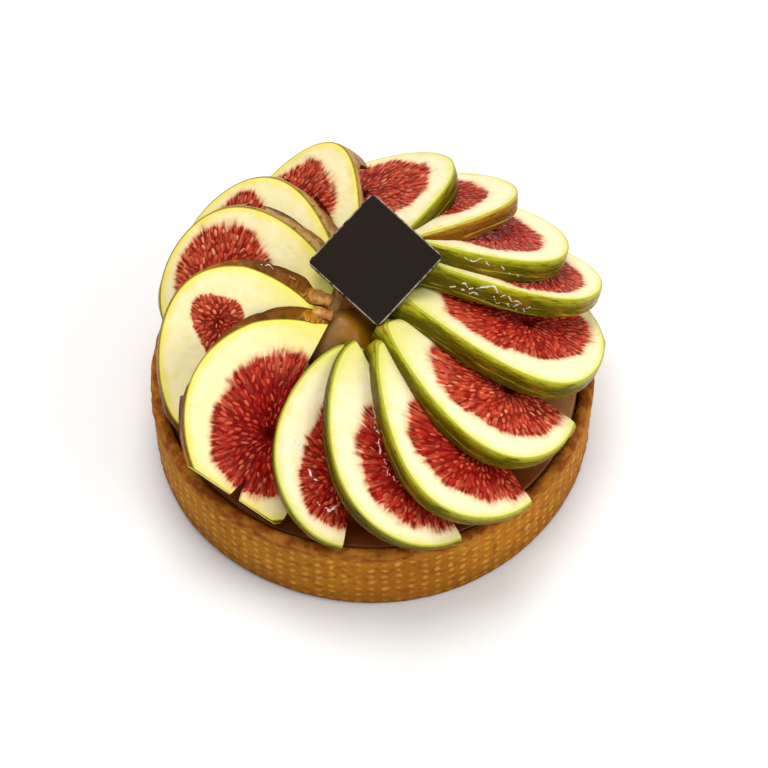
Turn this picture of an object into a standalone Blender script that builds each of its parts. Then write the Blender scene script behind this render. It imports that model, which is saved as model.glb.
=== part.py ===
"""Fig tart: a sweet pastry case, a glazed cream filling, fig slices fanned over it and a plaque.

The origin is the centre of the base on the table. +Z is up and -Y is the front.
Sizes are in metres and angles in degrees.
"""
import math
from dataclasses import dataclass

import bmesh
import bpy
from mathutils import Euler, Matrix, Vector

MM = 0.001
GAP = 0.3 * MM

# Pastry case, a cup baked in a ring
CASE_RADIUS = 50.0 * MM
CASE_HEIGHT = 20.5 * MM
WALL = 3.2 * MM
FLOOR = 3.5 * MM
RIM_ROUND = 1.5 * MM
FOOT_ROUND = 1.2 * MM
RIM_BAND = 1.9 * MM
IMPRINT_DEPTH = 0.25 * MM
CASE_STEPS = 64
ARC_STEPS = 4

# Filling, level at the wall and heaped in the middle
FILLING_LEVEL = 17.4 * MM
HEAP_RISE = 15.0 * MM
HEAP_RADIUS = 46.0 * MM
HEAP_POWER = 0.95
HEAP_RINGS = 11
FILLING_STEPS = 48

# Unevenness that the case and the filling share
WAVE_OUT = 0.25 * MM
WAVE_UP = 0.3 * MM

# How finely a fig is turned
FIG_RINGS = 20
FIG_STEPS = 32
NECK_SHARE = 0.35
EYE_SHARE = 0.25
NOTCH_DEPTH = 5.0
NOTCH_BEYOND = 4.0

# Plaque of thin chocolate that leans on the stems
PLAQUE_SIDE = 21.3 * MM
PLAQUE_THICKNESS = 1.8 * MM
PLAQUE_CORNER = 1.4 * MM
PLAQUE_EDGE = 0.25 * MM
PLAQUE_CENTRE = Vector((0.8, 11.2, 46.0)) * MM
PLAQUE_LEAN = 27.0
PLAQUE_SPIN = 47.3


@dataclass(frozen=True)
class Fig:
    """One slice of a fig: where it lies, how large the fig was and how it was cut.

    The slice points from its stem to its eye. Heading is the way it points, pitch how far
    it dips, and tilt how far its clockwise side is raised. Length, half_width, belly and
    fullness give the outline of the cut face: belly moves its widest place towards the
    eye, and fullness squares it. Off_axis is how far from the fig's middle the face was
    cut, and wedge how much thicker the raised side is. Cut is the turn of a second cut
    beyond the eye, cut_offset how far from the eye it lies, and None leaves the slice
    whole. Notch is the width of the split at the eye. Blunt is how much of the eye's end
    is off, and skew the turn of its flat end. Taper is how the slice thins to its eye.
    """

    stem: tuple
    heading: float
    pitch: float
    tilt: float
    length: float
    half_width: float
    belly: float
    fullness: float
    thickness: float
    off_axis: float
    wedge: float = 5.0
    cut: float | None = None
    cut_offset: float = 0.0
    notch: float = 0.0
    blunt: float = 0.0
    skew: float = 0.0
    taper: float = 4.0


# From the front left round to the right and the back, each slice lying over the one before it
FIGS = (
    Fig(
        (-8.7, -0.3, 38.0), 242, 13, 26, 48.5, 21.3, 1.02, 0.52, 5.2, 5.0,
        wedge=0, cut=0, cut_offset=11.5, notch=2.4, blunt=4.0, skew=3
    ),
    Fig((-3.8, -5.3, 37.5), 267, 17, 28, 45.7, 17.4, 1.25, 0.45, 5.2, 2.0, cut=8),
    Fig((-3.4, -5.0, 38.5), 299, 18, 24, 49.8, 22.0, 1.45, 0.40, 5.2, 3.0, cut=0),
    Fig((1.8, -6.0, 39.5), 316, 18, 22, 48.3, 22.0, 1.60, 0.48, 5.4, 3.0, cut=14),
    Fig((3.3, -1.2, 40.0), 338, 18, 20, 47.2, 22.2, 1.65, 0.45, 5.6, 4.0, cut=14),
    Fig((7.0, 5.5, 41.0), 359, 18, 19, 47.5, 21.8, 1.68, 0.52, 5.8, 4.5),
    Fig((9.5, 14.8, 43.0), 11, 21, 27, 45.5, 17.5, 1.62, 0.50, 5.6, 4.5),
    Fig((2.8, 20.5, 45.0), 19, 21, 27, 44.7, 20.8, 1.58, 0.54, 5.6, 4.0),
    Fig((-1.9, 15.4, 45.0), 56, 20, 26, 42.8, 22.0, 1.72, 0.47, 4.6, 4.0),
    Fig((-3.8, 9.0, 44.0), 88, 18, 24, 44.9, 23.4, 1.63, 0.52, 5.4, 4.5),
    Fig((-3.5, 7.4, 43.0), 127, 18, 32, 43.9, 22.8, 1.73, 0.50, 5.6, 5.0),
    Fig((-7.6, 10.1, 42.0), 150, 18, 26, 42.9, 18.5, 1.32, 0.54, 5.6, 7.0),
    Fig((-8.2, 7.7, 41.0), 170, 18, 28, 42.8, 19.6, 1.27, 0.50, 5.6, 8.0),
    Fig((-10.1, 3.7, 38.0), 213, 15, 24, 41.5, 23.2, 0.95, 0.58, 5.2, 5.0, wedge=2),
)
# A slice is trimmed by as many of the slices that lie over it
LAYERS_OVER = 3


def clear_scene() -> None:
    """Remove every object, so that only the tart is in the file."""
    for thing in list(bpy.data.objects):
        bpy.data.objects.remove(thing)


def new_collection(name: str) -> bpy.types.Collection:
    """Make a collection under the scene's own."""
    collection = bpy.data.collections.new(name)
    bpy.context.scene.collection.children.link(collection)
    return collection


def new_material(name: str, colour: tuple, roughness: float) -> bpy.types.Material:
    """Make a Principled material of one colour."""
    material = bpy.data.materials.new(name)
    material.use_nodes = True
    shader = material.node_tree.nodes["Principled BSDF"]
    shader.inputs["Base Color"].default_value = (*colour, 1.0)
    shader.inputs["Roughness"].default_value = roughness
    shader.inputs["Metallic"].default_value = 0.0
    return material


def arc(centre: tuple, radius: float, start: float, end: float) -> list:
    """Points (radius, height) along an arc, from one angle to another."""
    points = []
    for step in range(ARC_STEPS + 1):
        angle = math.radians(start + (end - start) * step / ARC_STEPS)
        points.append((centre[0] + radius * math.cos(angle), centre[1] + radius * math.sin(angle)))
    return points


def case_outer_profile(grow: float) -> list:
    """The case's outside from the top of the rim down to the edge of its foot, moved out by grow."""
    radius = CASE_RADIUS + grow
    top = CASE_HEIGHT + grow
    band = top - RIM_BAND - grow
    inner = CASE_RADIUS - WALL - grow
    rim = arc((inner + RIM_ROUND, top - RIM_ROUND), RIM_ROUND, 180, 90)
    rim += arc((radius - RIM_ROUND, top - RIM_ROUND), RIM_ROUND, 90, 0)
    wall = [(radius, band), (radius - IMPRINT_DEPTH, band - IMPRINT_DEPTH)]
    foot_radius = radius - IMPRINT_DEPTH
    foot = arc((foot_radius - FOOT_ROUND, FOOT_ROUND - grow), FOOT_ROUND, 0, -90)
    return rim + wall + foot


def heap_height(radius: float) -> float:
    """Height of the filling's top at a distance from the middle."""
    near = min(radius / HEAP_RADIUS, 1.0)
    swell = (0.5 + 0.5 * math.cos(math.pi * near)) ** HEAP_POWER
    return FILLING_LEVEL + HEAP_RISE * swell


def filling_top_profile(edge: float, grow: float) -> list:
    """The filling's top from the middle out to its edge, raised by grow."""
    points = []
    for ring in range(HEAP_RINGS + 1):
        radius = edge * ring / HEAP_RINGS
        points.append((radius, heap_height(radius) + grow))
    return points


def uneven(point: Vector) -> Vector:
    """Give a turned shape the slight waves of a case pressed and filled by hand."""
    azimuth = math.atan2(point.y, point.x)
    near = min(math.hypot(point.x, point.y) / CASE_RADIUS, 1.0) ** 2
    high = max(min(point.z / CASE_HEIGHT, 1.0), 0.0)
    out = WAVE_OUT * near * (math.sin(2 * azimuth + 0.6) + 0.6 * math.sin(5 * azimuth + 2.0))
    up = WAVE_UP * high * near * (math.sin(3 * azimuth + 1.0) + 0.5 * math.sin(7 * azimuth))
    return Vector((point.x + out * math.cos(azimuth), point.y + out * math.sin(azimuth), point.z + up))


def turned(name: str, profile: list, steps: int, collection: bpy.types.Collection) -> bpy.types.Object:
    """Turn a profile about Z with a Screw modifier, apply it and make it uneven."""
    shape = bmesh.new()
    corners = [shape.verts.new((radius, 0.0, height)) for radius, height in profile]
    for first, second in zip(corners, corners[1:]):
        shape.edges.new((first, second))
    mesh = bpy.data.meshes.new(name)
    shape.to_mesh(mesh)
    shape.free()
    thing = bpy.data.objects.new(name, mesh)
    collection.objects.link(thing)
    screw = thing.modifiers.new("Turn", "SCREW")
    screw.axis = "Z"
    screw.angle = math.tau
    screw.steps = steps
    screw.render_steps = steps
    screw.use_merge_vertices = True
    screw.merge_threshold = 0.00005
    bake_modifiers(thing)
    for corner in thing.data.vertices:
        corner.co = uneven(corner.co)
    return thing


def bake_modifiers(thing: bpy.types.Object) -> None:
    """Replace an object's mesh by the mesh that its modifiers give."""
    bpy.context.view_layer.update()
    evaluated = thing.evaluated_get(bpy.context.evaluated_depsgraph_get())
    baked = bpy.data.meshes.new_from_object(evaluated)
    baked.name = thing.name
    thing.modifiers.clear()
    thing.data = baked


def keep_largest_piece(thing: bpy.types.Object) -> None:
    """Delete the loose scraps that a cut leaves, and merge corners that meet."""
    shape = bmesh.new()
    shape.from_mesh(thing.data)
    bmesh.ops.remove_doubles(shape, verts=shape.verts, dist=0.00002)
    bmesh.ops.dissolve_degenerate(shape, edges=shape.edges, dist=0.00002)
    unseen = set(shape.verts)
    pieces = []
    while unseen:
        piece = set()
        stack = [unseen.pop()]
        while stack:
            corner = stack.pop()
            piece.add(corner)
            for edge in corner.link_edges:
                other = edge.other_vert(corner)
                if other in unseen:
                    unseen.remove(other)
                    stack.append(other)
        pieces.append(piece)
    pieces.sort(key=len)
    scraps = [corner for piece in pieces[:-1] for corner in piece]
    bmesh.ops.delete(shape, geom=scraps, context="VERTS")
    bmesh.ops.triangulate(shape, faces=shape.faces)
    shape.to_mesh(thing.data)
    shape.free()


def face_half_width(fig: Fig, along: float) -> float:
    """Half the width of the cut face at a share of the way from its stem to its eye."""
    swell = math.sin(math.pi * along ** fig.belly)
    return fig.half_width * MM * max(swell, 0.0) ** fig.fullness


def fig_profile(fig: Fig, grow: float) -> list:
    """Points (distance along, radius) of the whole fig, from its neck round to its eye."""
    length = fig.length * MM
    off_axis = fig.off_axis * MM
    neck = NECK_SHARE * off_axis
    end = length + EYE_SHARE * off_axis
    points = [(-neck - grow, 0.0), (-neck - grow, 0.7 * off_axis + grow)]
    for ring in range(FIG_RINGS + 1):
        along = 0.5 - 0.5 * math.cos(math.pi * ring / FIG_RINGS)
        points.append((length * along, math.hypot(face_half_width(fig, along), off_axis) + grow))
    points += [(0.4 * length + 0.6 * end + grow, 0.75 * off_axis + grow), (end + grow, 0.0)]
    return points


def cut_away(shape: bmesh.types.BMesh, place: Vector, outward: Vector) -> None:
    """Cut a closed shape by a plane, drop what lies outward and close the cut."""
    everything = shape.verts[:] + shape.edges[:] + shape.faces[:]
    cut = bmesh.ops.bisect_plane(
        shape, geom=everything, dist=0.000001, plane_co=place, plane_no=outward, clear_outer=True
    )
    edges = [item for item in cut["geom_cut"] if isinstance(item, bmesh.types.BMEdge)]
    bmesh.ops.holes_fill(shape, edges=edges, sides=0)


def fig_slice_shape(fig: Fig, grow: float) -> bmesh.types.BMesh:
    """Turn a whole fig about its own axis, X, and cut the slice out of it.

    The cut face looks along +Z and holds the line from stem to eye, which ends up
    on X. The raised side is at -Y.
    """
    shape = bmesh.new()
    corners = [shape.verts.new((along, radius, 0.0)) for along, radius in fig_profile(fig, grow)]
    edges = [shape.edges.new(pair) for pair in zip(corners, corners[1:])]
    bmesh.ops.spin(
        shape, geom=corners + edges, cent=(0, 0, 0), axis=(1, 0, 0), angle=math.tau,
        steps=FIG_STEPS, use_merge=True
    )
    bmesh.ops.remove_doubles(shape, verts=shape.verts, dist=0.00001)
    bmesh.ops.recalc_face_normals(shape, faces=shape.faces)
    bmesh.ops.translate(shape, verts=shape.verts, vec=(0, 0, -fig.off_axis * MM))
    thins_along = math.tan(math.radians(fig.taper))
    thins_across = math.tan(math.radians(fig.wedge))
    back = Vector((thins_along, thins_across, -1.0)).normalized()
    cut_away(shape, Vector((0, 0, grow)), Vector((0, 0, 1)))
    cut_away(shape, Vector((0, 0, -fig.thickness * MM)) + back * grow, back)
    if fig.cut is not None:
        turn = math.radians(fig.cut)
        away = Vector((math.sin(turn), math.cos(turn), 0.0))
        eye = Vector((fig.length * MM, 0.0, 0.0))
        cut_away(shape, eye + away * (fig.cut_offset * MM + grow), away)
    if fig.blunt:
        skew = math.radians(fig.skew)
        ahead = Vector((math.cos(skew), -math.sin(skew), 0.0))
        cut_away(shape, Vector(((fig.length - fig.blunt) * MM, 0, 0)) + ahead * grow, ahead)
    return shape


def fig_place(fig: Fig) -> Matrix:
    """Where a slice lies: the stem's place, then heading, pitch and tilt in turn."""
    turn = Euler((-math.radians(fig.tilt), math.radians(fig.pitch), math.radians(fig.heading)), "XYZ")
    return Matrix.Translation(Vector(fig.stem) * MM) @ turn.to_matrix().to_4x4()


def fig_object(name: str, fig: Fig, grow: float, collection: bpy.types.Collection) -> bpy.types.Object:
    """Make one slice, or a copy of it grown by grow, where it lies."""
    shape = fig_slice_shape(fig, grow)
    shape.transform(fig_place(fig))
    mesh = bpy.data.meshes.new(name)
    shape.to_mesh(mesh)
    shape.free()
    thing = bpy.data.objects.new(name, mesh)
    collection.objects.link(thing)
    return thing


def notch_object(fig: Fig, collection: bpy.types.Collection) -> bpy.types.Object:
    """A three-sided cutter for the split at a slice's eye, its point towards the stem."""
    shape = bmesh.new()
    point = (fig.length - fig.blunt - NOTCH_DEPTH) * MM
    mouth = (fig.length - fig.blunt + NOTCH_BEYOND) * MM
    half = 0.5 * fig.notch * MM
    corners = []
    for along, across in ((point, 0.0), (mouth, -half), (mouth, half)):
        corners.append(shape.verts.new((along, across, NOTCH_BEYOND * MM)))
    top = shape.faces.new(corners)
    grown = bmesh.ops.extrude_face_region(shape, geom=[top])
    lower = [item for item in grown["geom"] if isinstance(item, bmesh.types.BMVert)]
    drop = fig.thickness + 3 * NOTCH_BEYOND
    bmesh.ops.translate(shape, verts=lower, vec=(0, 0, -drop * MM))
    bmesh.ops.recalc_face_normals(shape, faces=shape.faces)
    shape.transform(fig_place(fig))
    mesh = bpy.data.meshes.new("split_at_eye")
    shape.to_mesh(mesh)
    shape.free()
    thing = bpy.data.objects.new("split_at_eye", mesh)
    collection.objects.link(thing)
    return thing


def plaque_object(name: str, grow: float, collection: bpy.types.Collection) -> bpy.types.Object:
    """The square plaque, corner down, leaning back on the stems."""
    shape = bmesh.new()
    bmesh.ops.create_cube(shape, size=1.0)
    side = PLAQUE_SIDE + 2 * grow
    bmesh.ops.scale(shape, verts=shape.verts, vec=(side, side, PLAQUE_THICKNESS + 2 * grow))
    upright = [edge for edge in shape.edges if abs(edge.verts[0].co.z - edge.verts[1].co.z) > PLAQUE_EDGE]
    bmesh.ops.bevel(
        shape, geom=upright, offset=PLAQUE_CORNER + grow, affect="EDGES", segments=4, profile=0.5, material=-1
    )
    flat = [edge for edge in shape.edges if edge.calc_face_angle() > math.radians(60)]
    bmesh.ops.bevel(
        shape, geom=flat, offset=PLAQUE_EDGE, affect="EDGES", segments=1, profile=0.5, material=-1
    )
    spin = Matrix.Rotation(math.radians(PLAQUE_SPIN), 3, "Z")
    lean = Matrix.Rotation(math.radians(PLAQUE_LEAN), 3, "X")
    bmesh.ops.rotate(shape, verts=shape.verts, matrix=lean @ spin)
    bmesh.ops.translate(shape, verts=shape.verts, vec=PLAQUE_CENTRE)
    bmesh.ops.triangulate(shape, faces=shape.faces)
    mesh = bpy.data.meshes.new(name)
    shape.to_mesh(mesh)
    shape.free()
    thing = bpy.data.objects.new(name, mesh)
    collection.objects.link(thing)
    return thing


def hide_cutter(thing: bpy.types.Object) -> None:
    """Mark a shape as a cutter, which is no part of the tart."""
    thing.hide_render = True
    thing.display_type = "WIRE"


def trim(thing: bpy.types.Object, cutters: list) -> None:
    """Cut each cutter out of a piece in turn."""
    for cutter in cutters:
        hide_cutter(cutter)
        cut = thing.modifiers.new("Trim by " + cutter.name, "BOOLEAN")
        cut.operation = "DIFFERENCE"
        cut.solver = "EXACT"
        cut.object = cutter
    bake_modifiers(thing)
    keep_largest_piece(thing)


def dress(thing: bpy.types.Object, material: bpy.types.Material) -> None:
    """Give a piece its material, shaded smooth but for its sharp edges."""
    thing.data.materials.clear()
    thing.data.materials.append(material)
    thing.data.shade_smooth()
    thing.data.set_sharp_from_angle(angle=math.radians(40))


def build_case(parts: bpy.types.Collection) -> None:
    """The pastry case: floor, wall and rounded rim."""
    inner = CASE_RADIUS - WALL
    profile = [(0.0, FLOOR), (inner, FLOOR)] + case_outer_profile(0.0) + [(0.0, 0.0)]
    case = turned("pastry_case", profile, CASE_STEPS, parts)
    dress(case, new_material("golden pastry", (0.42, 0.18, 0.04), 0.75))


def build_filling(parts: bpy.types.Collection) -> None:
    """The glazed filling, which stands clear of the case by the gap."""
    edge = CASE_RADIUS - WALL - GAP
    profile = filling_top_profile(edge, 0.0) + [(edge, FLOOR + GAP), (0.0, FLOOR + GAP)]
    filling = turned("filling", profile, FILLING_STEPS, parts)
    dress(filling, new_material("amber glaze", (0.16, 0.05, 0.01), 0.2))


def build_base_cutter(cutters: bpy.types.Collection) -> bpy.types.Object:
    """The case and the filling as one shape, grown by the gap, that the slices are trimmed by."""
    edge = CASE_RADIUS - WALL - GAP
    profile = filling_top_profile(edge, GAP) + case_outer_profile(GAP) + [(0.0, -GAP)]
    return turned("case_and_filling", profile, CASE_STEPS, cutters)


def build_figs(parts: bpy.types.Collection, cutters: bpy.types.Collection) -> None:
    """The slices, each trimmed by those that lie over it, by the base and by the plaque."""
    flesh = new_material("fig flesh", (0.80, 0.62, 0.30), 0.35)
    base = build_base_cutter(cutters)
    plaque = plaque_object("grown_plaque", GAP, cutters)
    grown = []
    for number, fig in enumerate(FIGS, start=1):
        grown.append(fig_object(f"grown_fig_{number:02d}", fig, GAP, cutters))
    for index, fig in enumerate(FIGS):
        piece = fig_object(f"fig_slice_{index + 1:02d}", fig, 0.0, parts)
        over = [grown[(index + step) % len(FIGS)] for step in range(1, LAYERS_OVER + 1)]
        knives = [notch_object(fig, cutters)] if fig.notch else []
        trim(piece, knives + over + [base, plaque])
        dress(piece, flesh)


def build_plaque(parts: bpy.types.Collection) -> None:
    """The bare chocolate plaque."""
    plaque = plaque_object("plaque", 0.0, parts)
    dress(plaque, new_material("dark chocolate", (0.02, 0.01, 0.008), 0.5))


def main() -> None:
    """Build the whole tart."""
    clear_scene()
    parts = new_collection("fig_tart")
    cutters = new_collection("cutters")
    build_case(parts)
    build_filling(parts)
    build_figs(parts, cutters)
    build_plaque(parts)
    for thing in list(cutters.objects):
        bpy.data.objects.remove(thing)


main()
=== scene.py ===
"""The looks of the fig tart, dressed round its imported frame.

Sizes of the tart are in millimetres and are turned into metres where a mesh is made.
The origin is the centre of the base on the table, +Z is up and -Y is the front.
"""

import logging
import math
import random
from dataclasses import dataclass
from enum import Enum

import bmesh
import bpy
import numpy as np
from mathutils import Euler, Matrix, Vector, noise
from mathutils.bvhtree import BVHTree

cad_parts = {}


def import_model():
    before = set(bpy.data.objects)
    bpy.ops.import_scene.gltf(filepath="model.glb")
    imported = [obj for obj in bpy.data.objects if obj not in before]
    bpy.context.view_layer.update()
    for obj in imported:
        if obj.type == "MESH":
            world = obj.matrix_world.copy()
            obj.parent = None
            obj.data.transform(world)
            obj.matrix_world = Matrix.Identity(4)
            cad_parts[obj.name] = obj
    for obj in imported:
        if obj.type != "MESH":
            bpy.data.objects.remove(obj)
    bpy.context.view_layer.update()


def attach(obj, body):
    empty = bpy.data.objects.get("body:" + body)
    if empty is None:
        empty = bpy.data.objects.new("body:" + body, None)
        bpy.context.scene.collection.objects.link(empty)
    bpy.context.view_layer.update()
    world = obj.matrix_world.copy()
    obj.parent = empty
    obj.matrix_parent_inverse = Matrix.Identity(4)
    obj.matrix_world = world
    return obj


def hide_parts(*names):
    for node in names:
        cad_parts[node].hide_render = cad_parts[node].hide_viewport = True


BODY = "root"
MM = 0.001
# How near to a plane points count as on it, and how near to each other they are merged
FINE = 0.001 * MM
MERGE = 0.01 * MM
# How far in millimetres the points of a slice's cut face may be from flat
FLAT = 0.02
# Steps along and round a fig, as a piece and as a shape to cut with
FINE_RINGS, FINE_STEPS = 44, 96
COARSE_RINGS, COARSE_STEPS = 20, 32
log = logging.getLogger("fig_tart")


# Shader maths


class Value:
    """A socket of a material, with the arithmetic that its patterns are written in."""

    def __init__(self, look: "Look", socket: bpy.types.NodeSocket) -> None:
        """Keep a socket.

        Args:
            look: The material that the socket belongs to.
            socket: The output socket.
        """
        self.look = look
        self.socket = socket

    def math(self, operation: str, *others: "Value | float") -> "Value":
        """Add a Math node.

        Args:
            operation: The node's operation.
            others: What comes after this value.

        Returns:
            The result.
        """
        inputs = dict(enumerate((self, *others)))
        return self.look.node("ShaderNodeMath", {"operation": operation}, inputs)

    def __add__(self, other: "Value | float") -> "Value":
        """The sum."""
        return self.math("ADD", other)

    __radd__ = __add__

    def __sub__(self, other: "Value | float") -> "Value":
        """The difference."""
        return self.math("SUBTRACT", other)

    def __rsub__(self, other: float) -> "Value":
        """A number less this value."""
        return self.math("MULTIPLY", -1.0).math("ADD", other)

    def __mul__(self, other: "Value | float") -> "Value":
        """The product."""
        return self.math("MULTIPLY", other)

    __rmul__ = __mul__

    def __pow__(self, other: float) -> "Value":
        """This value to a power."""
        return self.math("POWER", other)

    def rising(self, low: float, high: float) -> "Value":
        """Add a smooth step, which goes down where high is the lower one.

        Args:
            low: Where the step is 0.
            high: Where it is 1.

        Returns:
            The step.
        """
        settings = {"interpolation_type": "SMOOTHSTEP"}
        if low < high:
            return self.look.node("ShaderNodeMapRange", settings, {"Value": self, 1: low, 2: high})
        return 1 - self.rising(high, low)


class Look:
    """A Principled material and the nodes of its patterns."""

    def __init__(self, name: str) -> None:
        """Start a material.

        Args:
            name: The material's name.
        """
        self.material = bpy.data.materials.new(name)
        self.material.use_nodes = True
        self.tree = self.material.node_tree
        self.shader = self.tree.nodes["Principled BSDF"]

    def node(
        self, kind: str, settings: dict | None = None, inputs: dict | None = None, output: int | str = 0
    ) -> Value:
        """Add a node.

        Args:
            kind: The node's type.
            settings: Its settings, which are set first.
            inputs: The values or links of its sockets.
            output: Which output is wanted.

        Returns:
            The output.
        """
        added = self.tree.nodes.new(kind)
        for name, value in (settings or {}).items():
            setattr(added, name, value)
        for name, value in (inputs or {}).items():
            self.feed(added.inputs[name], value)
        return Value(self, added.outputs[output])

    def feed(self, socket: bpy.types.NodeSocket, value: "Value | float | tuple") -> None:
        """Link a value to a socket, or set the socket where it is plain numbers.

        Args:
            socket: The socket.
            value: What it gets.
        """
        if isinstance(value, Value):
            self.tree.links.new(value.socket, socket)
        else:
            socket.default_value = value

    def set(self, **inputs: "Value | float | tuple") -> None:
        """Feed the shader's sockets, whose names are written with _ for a space."""
        for name, value in inputs.items():
            self.feed(self.shader.inputs[name.replace("_", " ")], value)

    def attribute(self, name: str, output: str = "Vector") -> Value:
        """One of the mesh's own attributes."""
        return self.node("ShaderNodeAttribute", {"attribute_name": name}, output=output)

    def place(self) -> Value:
        """The place on the tart, in metres."""
        return self.node("ShaderNodeTexCoord", output="Object")

    def parts(self, vector: Value) -> tuple:
        """The three numbers of a vector."""
        split = self.node("ShaderNodeSeparateXYZ", inputs={0: vector}).socket.node
        return tuple(Value(self, socket) for socket in split.outputs)

    def vector(self, first: "Value | float", second: "Value | float", third: "Value | float") -> Value:
        """A vector of three numbers."""
        return self.node("ShaderNodeCombineXYZ", inputs={0: first, 1: second, 2: third})

    def stretched(self, vector: Value, scale: tuple) -> Value:
        """A vector with each of its numbers scaled."""
        return self.node("ShaderNodeVectorMath", {"operation": "MULTIPLY"}, {0: vector, 1: scale})

    def clouds(self, vector: Value, scale: float, detail: float = 3.0, roughness: float = 0.55) -> Value:
        """Noise from about 0.2 to 0.8."""
        inputs = {"Vector": vector, "Scale": scale, "Detail": detail, "Roughness": roughness}
        return self.node("ShaderNodeTexNoise", inputs=inputs)

    def cells(self, vector: Value, scale: float, smoothness: float = 0.3) -> Value:
        """The distance to the middle of the nearest cell."""
        inputs = {"Vector": vector, "Scale": scale, "Smoothness": smoothness}
        return self.node("ShaderNodeTexVoronoi", {"feature": "SMOOTH_F1"}, inputs)

    def blend(self, factor: "Value | float", first: "Value | tuple", second: "Value | tuple") -> Value:
        """Mix two colours.

        Args:
            factor: How much of the second there is.
            first: The first colour.
            second: The second colour.

        Returns:
            The colour between them.
        """
        first = first if isinstance(first, Value) else (*first, 1.0)
        second = second if isinstance(second, Value) else (*second, 1.0)
        inputs = {0: factor, 6: first, 7: second}
        return self.node("ShaderNodeMix", {"data_type": "RGBA"}, inputs, 2)

    def layered(self, colour: Value, *layers: tuple) -> Value:
        """Lay colours over a colour, one after another.

        Args:
            colour: The lowest colour.
            layers: The factor and the colour of each layer.

        Returns:
            The colour on top.
        """
        for factor, over in layers:
            colour = self.blend(factor, colour, over)
        return colour

    def bump(self, height: Value, depth: float, under: "Value | None" = None) -> Value:
        """Add relief.

        Args:
            height: Its height, from 0 to 1.
            depth: How deep it is, in millimetres.
            under: The relief that it lies on, or None.

        Returns:
            The normal.
        """
        inputs = {"Strength": 1.0, "Distance": depth * MM, "Height": height}
        if under is not None:
            inputs["Normal"] = under
        return self.node("ShaderNodeBump", inputs=inputs)


# Finishes


@dataclass(frozen=True)
class RindFinish:
    """The skin of a fig.

    Base is the colour of its body near the cut. Lower down it turns to a dark colour, which
    there is painted shade on the lower skin; the same dark colour gives its dark blotches and
    spots. Next is the colour of the veins along it, whose bright streaks also paint the sheen
    of the glaze, then that of its blotches, and line is that of its edge at the cut, which is
    line_depth millimetres deep. The scales are those of its patterns along, across and down
    the slice.
    """

    name: str
    base: tuple
    dark_and_painted_shade: tuple
    vein_and_painted_sheen: tuple
    patch: tuple
    line: tuple
    line_depth: float
    vein_scale: tuple = (0.07, 0.07, 1.3)
    blotch_scale: tuple = (0.11, 0.11, 0.35)
    wave_scale: tuple = (0.24, 0.24, 0.7)

    def look(self) -> Look:
        """Make the material: veins along the fig, whose streaks also paint sheen, blotches, spots,
        a line by the cut and painted shade lower down.

        Returns:
            The material.
        """
        look = Look(self.name)
        place = look.attribute("cut_place")
        depth = look.parts(place)[2]
        veins = look.clouds(look.stretched(place, self.vein_scale), 1.0, 4.0)
        blotches = look.clouds(look.stretched(place, self.blotch_scale), 1.0)
        spots = look.clouds(place, 1.3, 1.0).rising(0.66, 0.76)
        waves = look.clouds(look.stretched(place, self.wave_scale), 1.0, 2.0)
        colour = look.layered(
            # painted shade: the skin turns to the dark colour with depth below the cut
            look.blend((depth + blotches * 1.2).rising(0.2, -2.2) * 0.94, self.base, self.dark_and_painted_shade),
            (blotches.rising(0.47, 0.36) * 0.75, self.dark_and_painted_shade),
            (blotches.rising(0.54, 0.62) * 0.8, self.patch),
            # the veins: partly the skin's own streaks, partly painted sheen of the glaze
            (veins.rising(0.57, 0.66) * 0.5, self.vein_and_painted_sheen),
            (spots * 0.6, self.dark_and_painted_shade),
            (depth.rising(-self.line_depth, -0.2 * self.line_depth) * 0.85, self.line),
        )
        relief = look.bump(veins, 0.20, look.bump(waves, 1.2))
        look.set(Base_Color=colour, Roughness=veins * 0.2 + 0.10, Normal=relief, Specular_IOR_Level=0.05)
        return look


class Rind(Enum):
    """The skins on the tart, from fresh green to glazed brown."""

    GREEN = RindFinish(
        "green_rind", base=(0.36, 0.33, 0.007), dark_and_painted_shade=(0.095, 0.075, 0.002), vein_and_painted_sheen=(0.58, 0.54, 0.08),
        patch=(0.24, 0.12, 0.004), line=(0.44, 0.46, 0.035), line_depth=0.45
    )
    OLIVE = RindFinish(
        "olive_rind", base=(0.22, 0.185, 0.004), dark_and_painted_shade=(0.060, 0.045, 0.002), vein_and_painted_sheen=(0.48, 0.40, 0.06),
        patch=(0.15, 0.075, 0.004), line=(0.36, 0.37, 0.03), line_depth=0.4
    )
    GOLDEN = RindFinish(
        "golden_rind", base=(0.36, 0.17, 0.009), dark_and_painted_shade=(0.15, 0.050, 0.003), vein_and_painted_sheen=(0.74, 0.52, 0.14),
        patch=(0.24, 0.08, 0.004), line=(0.62, 0.46, 0.10), line_depth=0.6
    )
    BROWN = RindFinish(
        "brown_rind", base=(0.17, 0.055, 0.004), dark_and_painted_shade=(0.075, 0.020, 0.002), vein_and_painted_sheen=(0.62, 0.33, 0.08),
        patch=(0.50, 0.19, 0.005), line=(0.10, 0.045, 0.003), line_depth=0.12
    )
    TAN = RindFinish(
        "tan_rind", base=(0.44, 0.25, 0.08), dark_and_painted_shade=(0.22, 0.09, 0.015), vein_and_painted_sheen=(0.70, 0.47, 0.20),
        patch=(0.40, 0.15, 0.015), line=(0.12, 0.06, 0.004), line_depth=0.15
    )


@dataclass(frozen=True)
class PulpFinish:
    """The colours of the pulp, from dark beds and painted shade in its pit to pale fibres."""

    red: tuple = (0.33, 0.007, 0.006)
    pink: tuple = (0.60, 0.075, 0.032)
    bright: tuple = (0.56, 0.040, 0.015)
    dark: tuple = (0.15, 0.003, 0.003)
    fibre: tuple = (0.74, 0.20, 0.090)


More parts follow.
